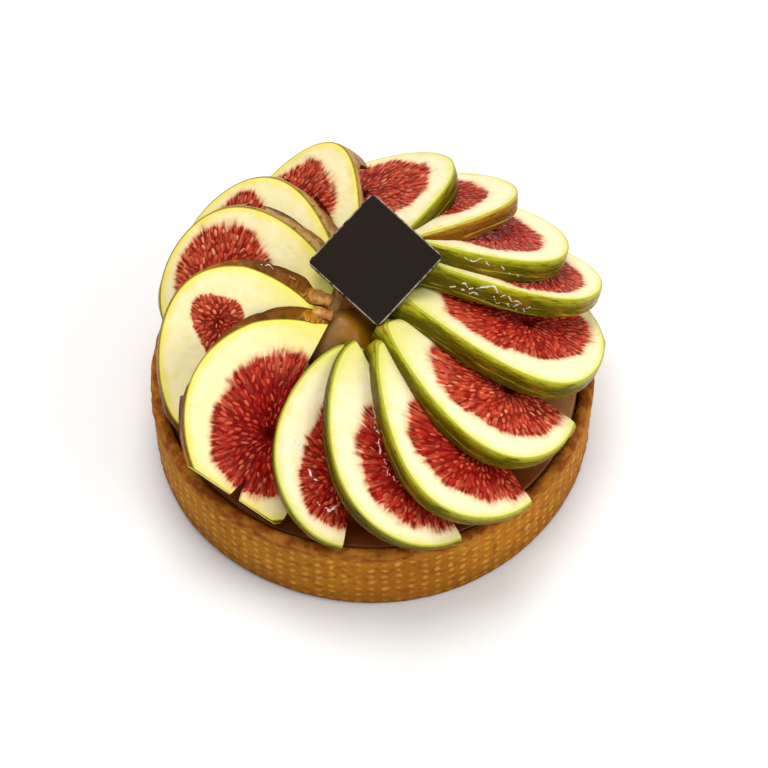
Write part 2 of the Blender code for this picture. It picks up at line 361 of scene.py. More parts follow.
@dataclass(frozen=True)
class FleshFinish:
    """The cut face of a fig.

    Cream and warm are the tones of its flesh, and edge is the colour that spreads in from
    the skin, by about spread millimetres. Line is the colour of the thin line at the skin
    on the raised side, and low_line on the low side.
    """

    name: str
    cream: tuple
    warm: tuple
    edge: tuple
    line: tuple
    spread: float
    low_line: tuple = (0.15, 0.13, 0.008)
    pulp: PulpFinish = PulpFinish()

    def look(self) -> Look:
        """Make the material: a line at the skin, pale flesh, fuzz and then red pulp, dark in its pit.

        Returns:
            The material.
        """
        look = Look(self.name)
        tints = self.pulp
        place = look.attribute("cut_place")
        from_stem, aside, _ = look.parts(place)
        across, along, _ = look.parts(look.attribute("pulp_place"))
        edge = look.attribute("edge_distance", "Fac")
        pink = look.attribute("pinkness", "Fac")
        angle = across.math("ARCTAN2", along)
        reach = (across * across + along * along) ** 0.5
        fibres = look.clouds(look.vector(angle * 16.0, reach * 2.0, 0.0), 1.0, 2.0, 0.6)
        mottle = look.clouds(place, 0.3, 4.0)
        soft = look.clouds(place, 0.2, 2.0)
        ragged = reach + (fibres - 0.5) * 0.18 + (soft - 0.5) * 0.28
        pulp = ragged.rising(1.02, 0.93)
        beds = look.cells(look.vector(angle * 9.0, reach * 6.0, 0.0), 1.0)
        # the pulp's middle over the eye's pit is painted dark: partly the fig's darker heart, partly
        # painted shade in the pit
        hollow = (reach + (1.0 - look.attribute("eye", "Fac"))).rising(0.13, 0.04)
        strands = fibres.rising(0.46, 0.66) * reach.rising(0.55, 0.95)

        flesh = look.layered(
            look.blend(mottle.rising(0.40, 0.72) * 0.45, self.cream, self.warm),
            (fibres.rising(0.5, 0.75) * 0.25 * reach.rising(1.5, 1.1), self.warm),
            (from_stem.rising(13.0, 2.0) * 0.7, self.edge),
            ((edge - mottle * 1.6).rising(self.spread, -0.8) * 0.9, self.edge),
            (ragged.rising(1.09, 0.97) * 0.55, tints.fibre),
        )
        red = look.layered(
            look.blend(pink + (soft - 0.5) * 0.5, tints.red, tints.pink),
            (reach.rising(0.40, 0.95) * (0.45 + pink * 0.35), tints.bright),
            (beds.rising(0.22, 0.60) * 0.8, tints.dark),
            (soft.rising(0.50, 0.38) * 0.45, tints.dark),
            (strands * (0.5 + pink * 0.3), tints.fibre),
        )
        skin = look.blend(aside.rising(-2.0, 6.0), self.line, self.low_line)
        # the pit's dark layer is painted shade together with the fig's darker heart
        colour = look.layered(flesh, (pulp, red), (hollow, tints.dark), (edge.rising(0.50, 0.15), skin))

        wavy = look.bump(look.clouds(place, 0.35, 1.0), 0.25)
        relief = look.bump((beds * -1.0 + fibres * 0.8) * pulp + mottle * 0.12, 0.45, wavy)
        look.set(Base_Color=colour, Roughness=0.30 - pulp * 0.10, Normal=relief, Specular_IOR_Level=0.05)
        look.set(Subsurface_Weight=0.10, Subsurface_Radius=(1.0, 0.6, 0.3), Subsurface_Scale=0.0015)
        return look


class Flesh(Enum):
    """The cut faces, paler on the right and warmer on the left."""

    PALE = FleshFinish(
        "pale_flesh", cream=(0.88, 0.78, 0.50), warm=(0.86, 0.71, 0.34), edge=(0.64, 0.62, 0.12),
        line=(0.36, 0.36, 0.03), spread=1.6
    )
    WARM = FleshFinish(
        "warm_flesh", cream=(0.88, 0.78, 0.44), warm=(0.88, 0.71, 0.26), edge=(0.80, 0.68, 0.08),
        line=(0.25, 0.20, 0.010), spread=1.9
    )


@dataclass(frozen=True)
class SeedFinish:
    """The seeds, each with its own tone from deep red over salmon to pale gold."""

    name: str = "fig_seeds"
    red: tuple = (0.40, 0.015, 0.008)
    salmon: tuple = (0.60, 0.095, 0.040)
    gold: tuple = (0.76, 0.27, 0.12)

    def look(self) -> Look:
        """Make the material.

        Returns:
            The material.
        """
        look = Look(self.name)
        tone = look.attribute("tone", "Fac")
        colour = look.blend(tone.rising(0.10, 0.80), self.red, self.salmon)
        colour = look.blend(tone.rising(0.88, 1.20), colour, self.gold)
        look.set(Base_Color=colour, Roughness=0.24, Specular_IOR_Level=0.10)
        return look


@dataclass(frozen=True)
class PastryFinish:
    """Baked pastry with the paler dots of the pierced ring that it was baked in.

    Base and deep are its two browns, low that of the lower wall, and foot the near-black of
    its foot, which is painted shade where the case meets the floor; rim and rim_pale are those
    of the rim.
    """

    name: str = "golden_pastry"
    base: tuple = (0.45, 0.170, 0.007)
    deep: tuple = (0.34, 0.110, 0.004)
    scorched: tuple = (0.22, 0.065, 0.002)
    dot: tuple = (0.66, 0.33, 0.050)
    low: tuple = (0.19, 0.060, 0.002)
    foot: tuple = (0.07, 0.020, 0.002)
    rim: tuple = (0.21, 0.045, 0.006)
    rim_pale: tuple = (0.42, 0.150, 0.018)
    crumb: tuple = (0.62, 0.34, 0.08)

    def look(self) -> Look:
        """Make the material.

        Returns:
            The material.
        """
        look = Look(self.name)
        place = look.place()
        dots = look.attribute("dots", "Fac")
        high = look.attribute("high", "Fac")
        bake = look.clouds(place, 60.0)
        grain = look.clouds(place, 1100.0)
        scorch = look.clouds(place, 430.0)
        streaks = look.clouds(look.stretched(place, (1.0, 1.0, 3.0)), 300.0, 5.0)
        top = look.blend(streaks.rising(0.38, 0.62), self.rim, self.rim_pale)
        colour = look.layered(
            look.blend(bake.rising(0.3, 0.7), self.base, self.deep),
            (scorch.rising(0.50, 0.66) * 0.65, self.scorched),
            (dots.rising(0.05, 0.7) * 0.8, self.dot),
            (high.rising(0.42, 0.0) * 0.65, self.low),
            # painted shade: the foot turns near-black where the case meets the floor
            (high.rising(0.07, 0.02) * 0.8, self.foot),
            (high.rising(0.90, 0.97) * 0.9, top),
            (grain.rising(0.60, 0.78) * 0.25, self.crumb),
        )
        relief = look.bump(grain, 0.28, look.bump(scorch, 0.7))
        look.set(Base_Color=colour, Roughness=0.5 + grain * 0.3, Normal=relief, Specular_IOR_Level=0.06)
        return look


@dataclass(frozen=True)
class GlazeFinish:
    """The glaze over the filling: olive on the mound, tan at the right, dark elsewhere."""

    name: str = "amber_glaze"
    dark: tuple = (0.115, 0.026, 0.006)
    amber: tuple = (0.21, 0.055, 0.010)
    tan: tuple = (0.46, 0.215, 0.085)
    mound_left: tuple = (0.24, 0.12, 0.03)
    mound_right: tuple = (0.28, 0.11, 0.003)

    def look(self) -> Look:
        """Make the material.

        Returns:
            The material.
        """
        look = Look(self.name)
        place = look.place()
        east, north, high = look.parts(place)
        swirl = look.clouds(place, 80.0)
        right = (east + swirl * 0.02).rising(0.034, 0.046) * north.rising(-0.030, -0.015)
        mound = look.blend(east.rising(-0.009, -0.004), self.mound_left, self.mound_right)
        colour = look.layered(
            look.blend(swirl.rising(0.35, 0.65), self.dark, self.amber),
            (right * 0.9, self.tan),
            (high.rising(0.0315, 0.0335), mound),
        )
        relief = look.bump(look.clouds(place, 260.0, 2.0), 0.5)
        look.set(Base_Color=colour, Roughness=0.28, Normal=relief, Specular_IOR_Level=0.22)
        return look


@dataclass(frozen=True)
class StemFinish:
    """The tan, fibrous ends of the stems."""

    name: str = "fig_stem"
    pale: tuple = (0.60, 0.29, 0.075)
    dark: tuple = (0.32, 0.12, 0.020)

    def look(self) -> Look:
        """Make the material.

        Returns:
            The material.
        """
        look = Look(self.name)
        grain = look.clouds(look.stretched(look.place(), (1.0, 1.0, 2.5)), 420.0, 4.0)
        colour = look.blend(grain.rising(0.36, 0.62), self.pale, self.dark)
        look.set(Base_Color=colour, Roughness=0.3, Normal=look.bump(grain, 0.4), Specular_IOR_Level=0.15)
        return look


@dataclass(frozen=True)
class GlazeHighlightFinish:
    """Clear glaze that has run together, its shine painted near-white: painted highlights."""

    name: str = "clear_glaze_painted_highlight"
    colour: tuple = (1.0, 0.97, 0.88)

    def look(self) -> Look:
        """Make the material.

        Returns:
            The material.
        """
        look = Look(self.name)
        # near-white and half clear: painted highlights of the glaze
        look.set(Base_Color=(*self.colour, 1.0), Roughness=0.04, Specular_IOR_Level=1.0, Alpha=0.75)
        return look


@dataclass(frozen=True)
class ChocolateFinish:
    """Matt dark chocolate, paler along its top edges."""

    name: str = "dark_chocolate"
    dark: tuple = (0.0115, 0.0060, 0.0036)
    bloom: tuple = (0.0150, 0.0082, 0.0052)
    pale_edge: tuple = (0.36, 0.29, 0.22)

    def look(self) -> Look:
        """Make the material.

        Returns:
            The material.
        """
        look = Look(self.name)
        place = look.place()
        grain = look.clouds(place, 700.0)
        bloom = look.clouds(place, 90.0)
        colour = look.blend(bloom.rising(0.3, 0.75), self.dark, self.bloom)
        colour = look.blend(look.attribute("pale_edge", "Fac") * grain.rising(0.30, 0.60), colour, self.pale_edge)
        look.set(Base_Color=colour, Roughness=0.55 + grain * 0.15, Normal=look.bump(grain, 0.03))
        look.set(Specular_IOR_Level=0.1)
        return look


# Shapes that pieces share


def as_object(name: str, shape: bmesh.types.BMesh) -> bpy.types.Object:
    """Make an object of a shape, and put it in the scene.

    Args:
        name: The object's name.
        shape: Its mesh, which is used up.

    Returns:
        The object.
    """
    mesh = bpy.data.meshes.new(name)
    shape.to_mesh(mesh)
    shape.free()
    thing = bpy.data.objects.new(name, mesh)
    bpy.context.scene.collection.objects.link(thing)
    return thing


def finished(
    name: str, shape: bmesh.types.BMesh, looks: list, replaced: str | None
) -> bpy.types.Object:
    """Make a piece of a shape, and put it on the frame.

    Args:
        name: The piece's name.
        shape: Its mesh, in metres where it lies.
        looks: A material for each material index.
        replaced: The node that it stands for, or None.

    Returns:
        The piece.
    """
    thing = as_object(name, shape)
    for look in looks:
        thing.data.materials.append(look.material)
    thing.data.shade_smooth()
    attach(thing, BODY)
    if replaced is not None:
        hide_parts(replaced)
    log.info("%s: %d faces", name, len(thing.data.polygons))
    return thing


def put_attribute(thing: bpy.types.Object, name: str, kind: str, values: np.ndarray) -> None:
    """Store a value for each corner point of a mesh.

    Args:
        thing: The piece.
        name: The attribute's name.
        kind: Its Blender type, FLOAT or FLOAT_VECTOR.
        values: The values, in the order of the points.
    """
    stored = thing.data.attributes.new(name, kind, "POINT")
    field = "vector" if kind == "FLOAT_VECTOR" else "value"
    stored.data.foreach_set(field, np.asarray(values, dtype=np.float32).ravel())


def points_of(thing: bpy.types.Object) -> np.ndarray:
    """Read where a mesh's points are.

    Args:
        thing: The piece.

    Returns:
        Their places, in metres.
    """
    places = np.empty(len(thing.data.vertices) * 3)
    thing.data.vertices.foreach_get("co", places)
    return places.reshape(-1, 3)


def spun(profile: list, steps: int, axis: tuple) -> bmesh.types.BMesh:
    """Turn a profile all the way round an axis through the origin.

    Args:
        profile: Its points.
        steps: How many steps the turn has.
        axis: The axis.

    Returns:
        The closed shape, faces outwards.
    """
    shape = bmesh.new()
    corners = [shape.verts.new(point) for point in profile]
    edges = [shape.edges.new(pair) for pair in zip(corners, corners[1:])]
    bmesh.ops.spin(
        shape, geom=corners + edges, cent=(0, 0, 0), axis=axis, angle=math.tau, steps=steps,
        use_merge=True
    )
    bmesh.ops.remove_doubles(shape, verts=shape.verts, dist=MERGE)
    bmesh.ops.recalc_face_normals(shape, faces=shape.faces)
    return shape


def cut_away(shape: bmesh.types.BMesh, place: Vector, outward: Vector) -> None:
    """Cut a closed shape by a plane, drop what lies outward and close the cut.

    Args:
        shape: The shape.
        place: A point on the plane.
        outward: The side that is dropped.
    """
    everything = shape.verts[:] + shape.edges[:] + shape.faces[:]
    cut = bmesh.ops.bisect_plane(
        shape, geom=everything, dist=FINE, plane_co=place, plane_no=outward, clear_outer=True
    )
    edges = [item for item in cut["geom_cut"] if isinstance(item, bmesh.types.BMEdge)]
    for face in bmesh.ops.holes_fill(shape, edges=edges, sides=0)["faces"]:
        face.material_index = 0


def with_parts(faces: list) -> list:
    """List faces and then their corners and edges, each once and in the same order each run.

    Args:
        faces: The faces.

    Returns:
        The list.
    """
    return faces + list(dict.fromkeys(item for face in faces for item in (*face.verts, *face.edges)))


def arc(centre: tuple, radius: float, start: float, end: float, steps: int) -> list:
    """Find points along an arc of a profile.

    Args:
        centre: Its centre, as (radius, height).
        radius: Its radius.
        start: The angle that it starts at, in degrees.
        end: The angle that it ends at.
        steps: How many steps it has.

    Returns:
        The points, as (radius, height).
    """
    points = []
    for step in range(steps + 1):
        angle = math.radians(start + (end - start) * step / steps)
        points.append((centre[0] + radius * math.cos(angle), centre[1] + radius * math.sin(angle)))
    return points


def unevenness(place: Vector, scales: tuple, shift: Vector = Vector()) -> float:
    """Add up noise of several sizes.

    Args:
        place: Where, in metres.
        scales: The scale and the depth in millimetres of each size.
        shift: What moves the noise, so that no two pieces have the same.

    Returns:
        The relief, in millimetres.
    """
    return sum(noise.noise(place * scale + shift) * depth for scale, depth in scales)


class Balls:
    """One mesh of many small balls, each stretched and laid in its own way."""

    def __init__(self, segments: int, rings: int, turn: Matrix) -> None:
        """Start with no ball.

        Args:
            segments: How many segments a ball has.
            rings: How many rings it has.
            turn: How its poles are turned.
        """
        one = bmesh.new()
        bmesh.ops.create_uvsphere(one, u_segments=segments, v_segments=rings, radius=1.0, matrix=turn)
        self.form = bpy.data.meshes.new("ball_form")
        one.to_mesh(self.form)
        one.free()
        self.points = len(self.form.vertices)
        self.shape = bmesh.new()

    def add(self, lie: Matrix) -> None:
        """Add a ball, whose radius is 1 before the matrix that lays it.

        Args:
            lie: The matrix.
        """
        self.form.transform(lie)
        self.shape.from_mesh(self.form)
        self.form.transform(lie.inverted())

    def done(self) -> bmesh.types.BMesh:
        """Drop the ball that was copied, and hand over the mesh."""
        bpy.data.meshes.remove(self.form)
        return self.shape


# The base, which the slices are trimmed by


@dataclass
class Crust:
    """The pastry case and the filling in it.

    The case is radius by height, with its wall and floor, a rounded rim and a rounded foot.
    Below its band the outside is pressed in by imprint, and there the dots of the ring
    stand out. The filling lies at filling_level and is heaped by heap_rise. At the wall it
    is drawn up by pool_rise over pool_width, and a mound of glaze lies over it between the
    stems. Gap is left between pieces, wave_out and wave_up are the waves of a case that is
    pressed by hand, and crumb, rim_lumps and filling_lumps are scales and depths of noise.
    """

    radius: float = 50.0
    height: float = 20.5
    wall: float = 3.2
    floor: float = 3.5
    rim_round: float = 1.5
    foot_round: float = 1.2
    band: float = 1.9
    imprint: float = 0.25
    imprint_fade: float = 0.9
    dots: int = 106
    dot_pitch: float = 2.6
    dot_radius: float = 1.0
    dot_height: float = 0.30
    dot_margin: float = 0.9
    crumb: tuple = ((330.0, 0.16), (800.0, 0.10))
    rim_lumps: tuple = ((150.0, 0.25),)
    rim_from: float = 18.0
    mound: tuple = (-6.8, 1.2)
    mound_top: float = 38.2
    mound_radius: float = 11.0
    mound_lumps: tuple = ((150.0, 0.35),)
    mound_fall: tuple = (0.22, 0.04)
    pool_width: float = 7.0
    pool_rise: float = 2.3
    filling_level: float = 17.4
    filling_lumps: tuple = ((160.0, 0.35), (60.0, 0.4))
    heap_rise: float = 15.0
    heap_radius: float = 46.0
    heap_power: float = 0.95
    gap: float = 0.3
    wave_out: float = 0.25
    wave_up: float = 0.3

    def outer_profile(self, grow: float, steps: int, wall_steps: int) -> list:
        """The case's outside, from the inner edge of its rim to its foot.

        Args:
            grow: How far the outside is moved out.
            steps: How many steps each rounded edge has.
            wall_steps: How many steps the wall has.

        Returns:
            The points, as (radius, height).
        """
        radius = self.radius + grow
        top = self.height + grow
        band = top - self.band - grow
        inner = self.radius - self.wall - grow
        rim = arc((inner + self.rim_round, top - self.rim_round), self.rim_round, 180, 90, steps)
        rim += arc((radius - self.rim_round, top - self.rim_round), self.rim_round, 90, 0, steps)
        foot_radius = radius - self.imprint
        foot_top = self.foot_round - grow
        wall = []
        for step in range(wall_steps + 1):
            drop = (band - foot_top) * step / wall_steps
            left = max(1.0 - drop / self.imprint_fade, 0.0)
            wall.append((foot_radius + self.imprint * left ** 2, band - drop))
        foot = arc((foot_radius - self.foot_round, foot_top), self.foot_round, 0, -90, steps)
        return rim + wall[:-1] + foot

    def heap_height(self, radius: float) -> float:
        """Height of the filling's top at a distance from the middle."""
        slope = 0.5 + 0.5 * math.cos(math.pi * min(radius / self.heap_radius, 1.0))
        return self.filling_level + self.heap_rise * slope ** self.heap_power

    def filling_profile(self, edge: float, grow: float, rings: int) -> list:
        """The filling's top from the middle out to its edge, raised by grow."""
        radii = [edge * ring / rings for ring in range(rings + 1)]
        return [(radius, self.heap_height(radius) + grow) for radius in radii]

    def uneven(self, point: Vector) -> Vector:
        """Give a turned shape the slight waves of a case pressed and filled by hand.

        Args:
            point: A point of the even shape, in metres.

        Returns:
            Where it goes.
        """
        azimuth = math.atan2(point.y, point.x)
        near = min(math.hypot(point.x, point.y) / (self.radius * MM), 1.0) ** 2
        high = max(min(point.z / (self.height * MM), 1.0), 0.0)
        out_waves = math.sin(2 * azimuth + 0.6) + 0.6 * math.sin(5 * azimuth + 2.0)
        up_waves = math.sin(3 * azimuth + 1.0) + 0.5 * math.sin(7 * azimuth)
        out = self.wave_out * MM * near * out_waves
        up = self.wave_up * MM * high * near * up_waves
        aside = (point.x + out * math.cos(azimuth), point.y + out * math.sin(azimuth))
        return Vector((*aside, point.z + up))

    def turned(self, profile: list, steps: int, finer: int = 0) -> bmesh.types.BMesh:
        """Turn a profile of (radius, height) about Z and make it uneven.

        Args:
            profile: The points, from the middle of the top round to the middle of the base.
            steps: How many steps the turn has.
            finer: How many cuts go through each step afterwards.

        Returns:
            The closed shape.
        """
        shape = spun([(radius * MM, 0.0, high * MM) for radius, high in profile], steps, (0, 0, 1))
        if finer:
            rings = [edge for edge in shape.edges if self.goes_round(edge)]
            bmesh.ops.subdivide_edges(shape, edges=rings, cuts=finer, use_grid_fill=True)
        for corner in shape.verts:
            corner.co = self.uneven(corner.co)
        return shape

    def goes_round(self, edge: bmesh.types.BMEdge) -> bool:
        """Say whether an edge of a turned shape runs round it, at the wall.

        Args:
            edge: The edge.

        Returns:
            Whether it does.
        """
        first, second = (corner.co for corner in edge.verts)
        level = abs(first.z - second.z) < FINE
        even = abs(first.xy.length - second.xy.length) < FINE
        return level and even and first.xy.length > (self.radius - self.wall - 0.5) * MM

    def cutter(self) -> bpy.types.Object:
        """Make the case and the filling as one shape, grown by the gap.

        Returns:
            The shape, which the slices are cut with.
        """
        edge = self.radius - self.wall - self.gap
        profile = self.filling_profile(edge, self.gap, 11)
        profile += self.outer_profile(self.gap, 4, 1) + [(0.0, -self.gap)]
        return as_object("base_cutter", self.turned(profile, 64))

    def dot_strength(self, column: int, row: int) -> float:
        """How clearly a dot of the ring has printed, from 0.1 to 1."""
        return 0.55 + 0.45 * noise.noise(Vector((column * 1.7, row * 2.3, 4.0)))

    def dot_at(self, azimuth: float, high: float) -> float:
        """How far the dots swell at a place on the wall, from 0 to 1.

        Args:
            azimuth: The angle round the case, in radians.
            high: The height, in millimetres.

        Returns:
            1 on top of a well printed dot.
        """
        jitter = noise.noise(Vector((azimuth * 40.0, high * 0.6, 2.0))) * 0.22
        turn = azimuth / math.tau * self.dots + self.dots + jitter
        row = (high - self.dot_margin) / self.dot_pitch + jitter
        aside = (turn % 1.0 - 0.5) * math.tau * self.radius / self.dots
        above = (row % 1.0 - 0.5) * self.dot_pitch
        share = max(1.0 - (math.hypot(aside, above) / self.dot_radius) ** 2, 0.0)
        fade = max(min((self.height - self.dot_margin - high) / 0.6, (high - 0.6) / 0.8, 1.0), 0.0)
        return share * fade * self.dot_strength(int(turn) % self.dots, int(row))

    def build_case(self) -> None:
        """The pastry case, its outside printed dot by dot."""
        inner = self.radius - self.wall
        profile = [(0.0, self.floor), (inner, self.floor)]
        profile += self.outer_profile(0.0, 8, 56) + [(0.0, 0.0)]
        shape = self.turned(profile, self.dots, 8)
        dots = []
        for corner in shape.verts:
            azimuth = math.atan2(corner.co.y, corner.co.x)
            flat = math.hypot(corner.co.x, corner.co.y) / MM
            high = corner.co.z / MM
            dot = self.dot_at(azimuth, high) if flat > self.radius - 1.2 else 0.0
            dots.append(dot)
            rough = unevenness(corner.co, self.crumb)
            push = (self.dot_height * dot + rough * min(high / 2.0, 1.0)) * MM
            if flat > self.radius - self.wall - 0.5:
                corner.co.x += push * math.cos(azimuth)
                corner.co.y += push * math.sin(azimuth)
                lumps = rough + unevenness(corner.co, self.rim_lumps)
                corner.co.z += lumps * min(max(high - self.rim_from, 0.0), 1.0) * MM
        thing = finished("pastry_case_baked", shape, [PastryFinish().look()], "pastry_case")
        put_attribute(thing, "dots", "FLOAT", np.array(dots))
        put_attribute(thing, "high", "FLOAT", points_of(thing)[:, 2] / (self.height * MM))

    def build_filling(self) -> None:
        """The filling, heaped in the middle, with its glaze drawn up at the wall."""
        edge = self.radius - self.wall - self.gap
        top = self.filling_profile(edge, 0.0, 90)
        profile = top + [(edge, self.floor + self.gap), (0.0, self.floor + self.gap)]
        shape = self.turned(profile, 240)
        for corner in shape.verts:
            flat = math.hypot(corner.co.x, corner.co.y) / MM
            if corner.co.z / MM < self.filling_level - 1.0 or flat > edge - 0.01:
                continue
            drawn = max(flat - edge + self.pool_width, 0.0) / self.pool_width
            lumps = unevenness(corner.co, self.filling_lumps)
            corner.co.z += (self.pool_rise * drawn * (2.0 - drawn) + lumps * (1.0 - 0.7 * drawn)) * MM
            corner.co.z = max(corner.co.z, self.mound_height(corner.co) * MM)
        finished("filling_glazed", shape, [GlazeFinish().look()], "filling")

    def mound_height(self, place: Vector) -> float:
        """Height of the small mound of glaze between the stems.

        Args:
            place: A point of the filling, in metres.

        Returns:
            The height in millimetres, or 0 away from the mound.
        """
        away = math.hypot(place.x / MM - self.mound[0], place.y / MM - self.mound[1])
        if away > self.mound_radius:
            return 0.0
        slope, curve = self.mound_fall
        return self.mound_top + unevenness(place, self.mound_lumps) - slope * away - curve * away ** 2


# Fig slices


@dataclass
class Fig:
    """One slice of a fig: where it lies, how it was cut, and the pulp in its face.

    The slice points from its stem to its eye. Heading, pitch and tilt say how it lies, and
    length, half_width, belly and fullness give the outline of its face. Pulp is where the
    pulp starts and ends along the slice, and its half width. Swell is how far the skin
    stands out on the raised side, and how far from the stem it still does so. Undercut is
    how fast that side draws in with depth. Inset is how far the face's raised edge draws in
    at the stem, and nick is the line (across at the stem, across at its end, length) that
    the stem's low side is cut along.

    Pink is how pale the pulp is, from 0 to 1, seeded how far out its seeds reach, and eye
    how clearly its middle shows. Pulp_aside, pulp_turn and pulp_lobes say how far the pulp
    lies to the side, how it is turned, and how uneven its outline is.
    """

    stem: tuple
    heading: float
    pitch: float
    tilt: float
    length: float
    half_width: float
    belly: float
    fullness: float
    thickness: float
    off_axis: float
    pulp: tuple
    rind: Rind
    flesh: Flesh
    wedge: float = 5.0
    cut: float | None = None
    cut_offset: float = 0.0
    notch: float = 0.0
    blunt: float = 0.0
    skew: float = 0.0
    taper: float = 4.0
    swell: tuple = (0.3, 60.0)
    undercut: float = 0.32
    inset: float = 0.0
    nick: tuple | None = None
    pink: float = 0.2
    seeded: float = 0.88
    pulp_aside: float = 0.0
    pulp_turn: float = 0.0
    pulp_lobes: float = 0.07
    eye: float = 1.0
    neck_share: float = 0.35
    eye_share: float = 0.25
    raised_width: float = 4.0
    notch_depth: float = 5.0
    knife_beyond: float = 4.0
    nick_start: float = -12.0
    end_gap: float = 0.6
    outline_steps: int = 120

    def face_half_width(self, along: float) -> float:
        """Half the width of the cut face at a share of the way from its stem to its eye."""
        swell = math.sin(math.pi * along ** self.belly)
        return self.half_width * max(swell, 0.0) ** self.fullness

    def profile(self, grow: float, rings: int) -> list:
        """Find the whole fig's profile, from its neck round to its eye.

        Args:
            grow: How far the profile is moved out.
            rings: How many steps it has along the fig.

        Returns:
            The points, in metres.
        """
        end = self.length + self.eye_share * self.off_axis
        neck = -self.neck_share * self.off_axis - grow
        points = [(neck, 0.0), (neck, 0.7 * self.off_axis + grow)]
        for ring in range(rings + 1):
            along = 0.5 - 0.5 * math.cos(math.pi * ring / rings)
            radius = math.hypot(self.face_half_width(along), self.off_axis)
            points.append((self.length * along, radius + grow))
        points.append((0.4 * self.length + 0.6 * end + grow, 0.75 * self.off_axis + grow))
        points.append((end + grow, 0.0))
        return [(along * MM, radius * MM, 0.0) for along, radius in points]

    def lie(self) -> Matrix:
        """Where the slice lies: the stem's place, then heading, pitch and tilt in turn."""
        angles = (-math.radians(self.tilt), math.radians(self.pitch), math.radians(self.heading))
        return Matrix.Translation(Vector(self.stem) * MM) @ Euler(angles, "XYZ").to_matrix().to_4x4()

    def solid(self, grow: float, rings: int, steps: int) -> bmesh.types.BMesh:
        """Cut the slice from a whole fig, with its stem at the origin and its face along +Z.

        Args:
            grow: How much larger than the slice the shape is, on every side.
            rings: How many steps the fig has along it.
            steps: How many steps it has round it.

        Returns:
            The closed shape.
        """
        shape = spun(self.profile(grow, rings), steps, (1, 0, 0))
        for face in shape.faces:
            face.material_index = 1
        bmesh.ops.translate(shape, verts=shape.verts, vec=(0, 0, -self.off_axis * MM))
        thins = (math.tan(math.radians(self.taper)), math.tan(math.radians(self.wedge)))
        back = Vector((*thins, -1.0)).normalized()
        cut_away(shape, Vector((0, 0, grow * MM)), Vector((0, 0, 1)))
        cut_away(shape, Vector((0, 0, -self.thickness * MM)) + back * grow * MM, back)
        if self.cut is not None:
            turn = math.radians(self.cut)
            away = Vector((math.sin(turn), math.cos(turn), 0.0))
            eye = Vector((self.length * MM, 0.0, 0.0))
            cut_away(shape, eye + away * (self.cut_offset + grow) * MM, away)
        if self.blunt:
            skew = math.radians(self.skew)
            ahead = Vector((math.cos(skew), -math.sin(skew), 0.0))
            cut_away(shape, Vector(((self.length - self.blunt) * MM, 0, 0)) + ahead * grow * MM, ahead)
        for corner in shape.verts:
            raised = min(max(-corner.co.y / (self.raised_width * MM), 0.0), 1.0)
            corner.co.y -= self.undercut * raised * min(corner.co.z, 0.0)
        return shape

    def knife(self, places: tuple) -> bpy.types.Object:
        """Make a straight knife through the slice.

        Args:
            places: Its outline on the face, in millimetres.

        Returns:
            The knife.
        """
        shape = bmesh.new()
        corners = [shape.verts.new((*(number * MM for number in place), 0.0)) for place in places]
        grown = bmesh.ops.extrude_face_region(shape, geom=[shape.faces.new(corners)])
        lower = [item for item in grown["geom"] if isinstance(item, bmesh.types.BMVert)]
        drop = self.thickness + 4 * self.knife_beyond
        bmesh.ops.translate(shape, verts=lower, vec=(0, 0, -drop * MM))
        bmesh.ops.translate(shape, verts=shape.verts, vec=(0, 0, self.knife_beyond * MM))
        bmesh.ops.recalc_face_normals(shape, faces=shape.faces)
        shape.transform(self.lie())
        return as_object("knife", shape)

    def knives(self) -> list:
        """Make the knives for the split at the eye and for the cut beside the stem.

        Returns:
            The knives that this slice has.
        """
        found = []
        if self.notch:
            end = self.length - self.blunt
            mouth = end + self.knife_beyond
            half = 0.5 * self.notch
            found.append(self.knife(((end - self.notch_depth, 0.0), (mouth, -half), (mouth, half))))
        if self.nick:
            first, last, reach = self.nick
            wide = self.half_width + self.knife_beyond
            start = self.nick_start
            found.append(self.knife(((start, first), (reach, last), (reach, wide), (start, wide))))
        return found

    def outline(self) -> np.ndarray:
        """Find the outline of the whole face where its skin shows.

        Returns:
            The points round it, in millimetres.
        """
        side = []
        for step in range(self.outline_steps + 1):
            along = 0.5 - 0.5 * math.cos(math.pi * step / self.outline_steps)
            side.append((self.length * along, self.face_half_width(along)))
        round_it = side + [(along, -across) for along, across in reversed(side)]
        slant = math.tan(math.radians(self.skew))
        end = self.length - self.blunt + self.end_gap
        return np.array([(min(along, end + across * slant), across) for along, across in round_it])

    def nearest_skin(self, places: np.ndarray) -> tuple:
        """Look for the skin nearest to each point of the face.

        Args:
            places: The points, in millimetres in the slice's own axes.

        Returns:
            How far the skin is from each point, and the direction out through it.
        """
        outline = self.outline()
        runs = np.roll(outline, -1, axis=0) - outline
        squares = np.maximum((runs ** 2).sum(1), 1e-9)
        nearest = np.full(len(places), 1e9)
        outward = np.zeros((len(places), 2))
        for start, run, square in zip(outline, runs, squares):
            offset = places[:, :2] - start
            share = np.clip(offset @ run / square, 0.0, 1.0)[:, None]
            gap = ((offset - share * run) ** 2).sum(1)
            closer = gap < nearest
            nearest[closer] = gap[closer]
            outward[closer] = np.array((-run[1], run[0])) / math.sqrt(square)
        return np.sqrt(nearest), outward


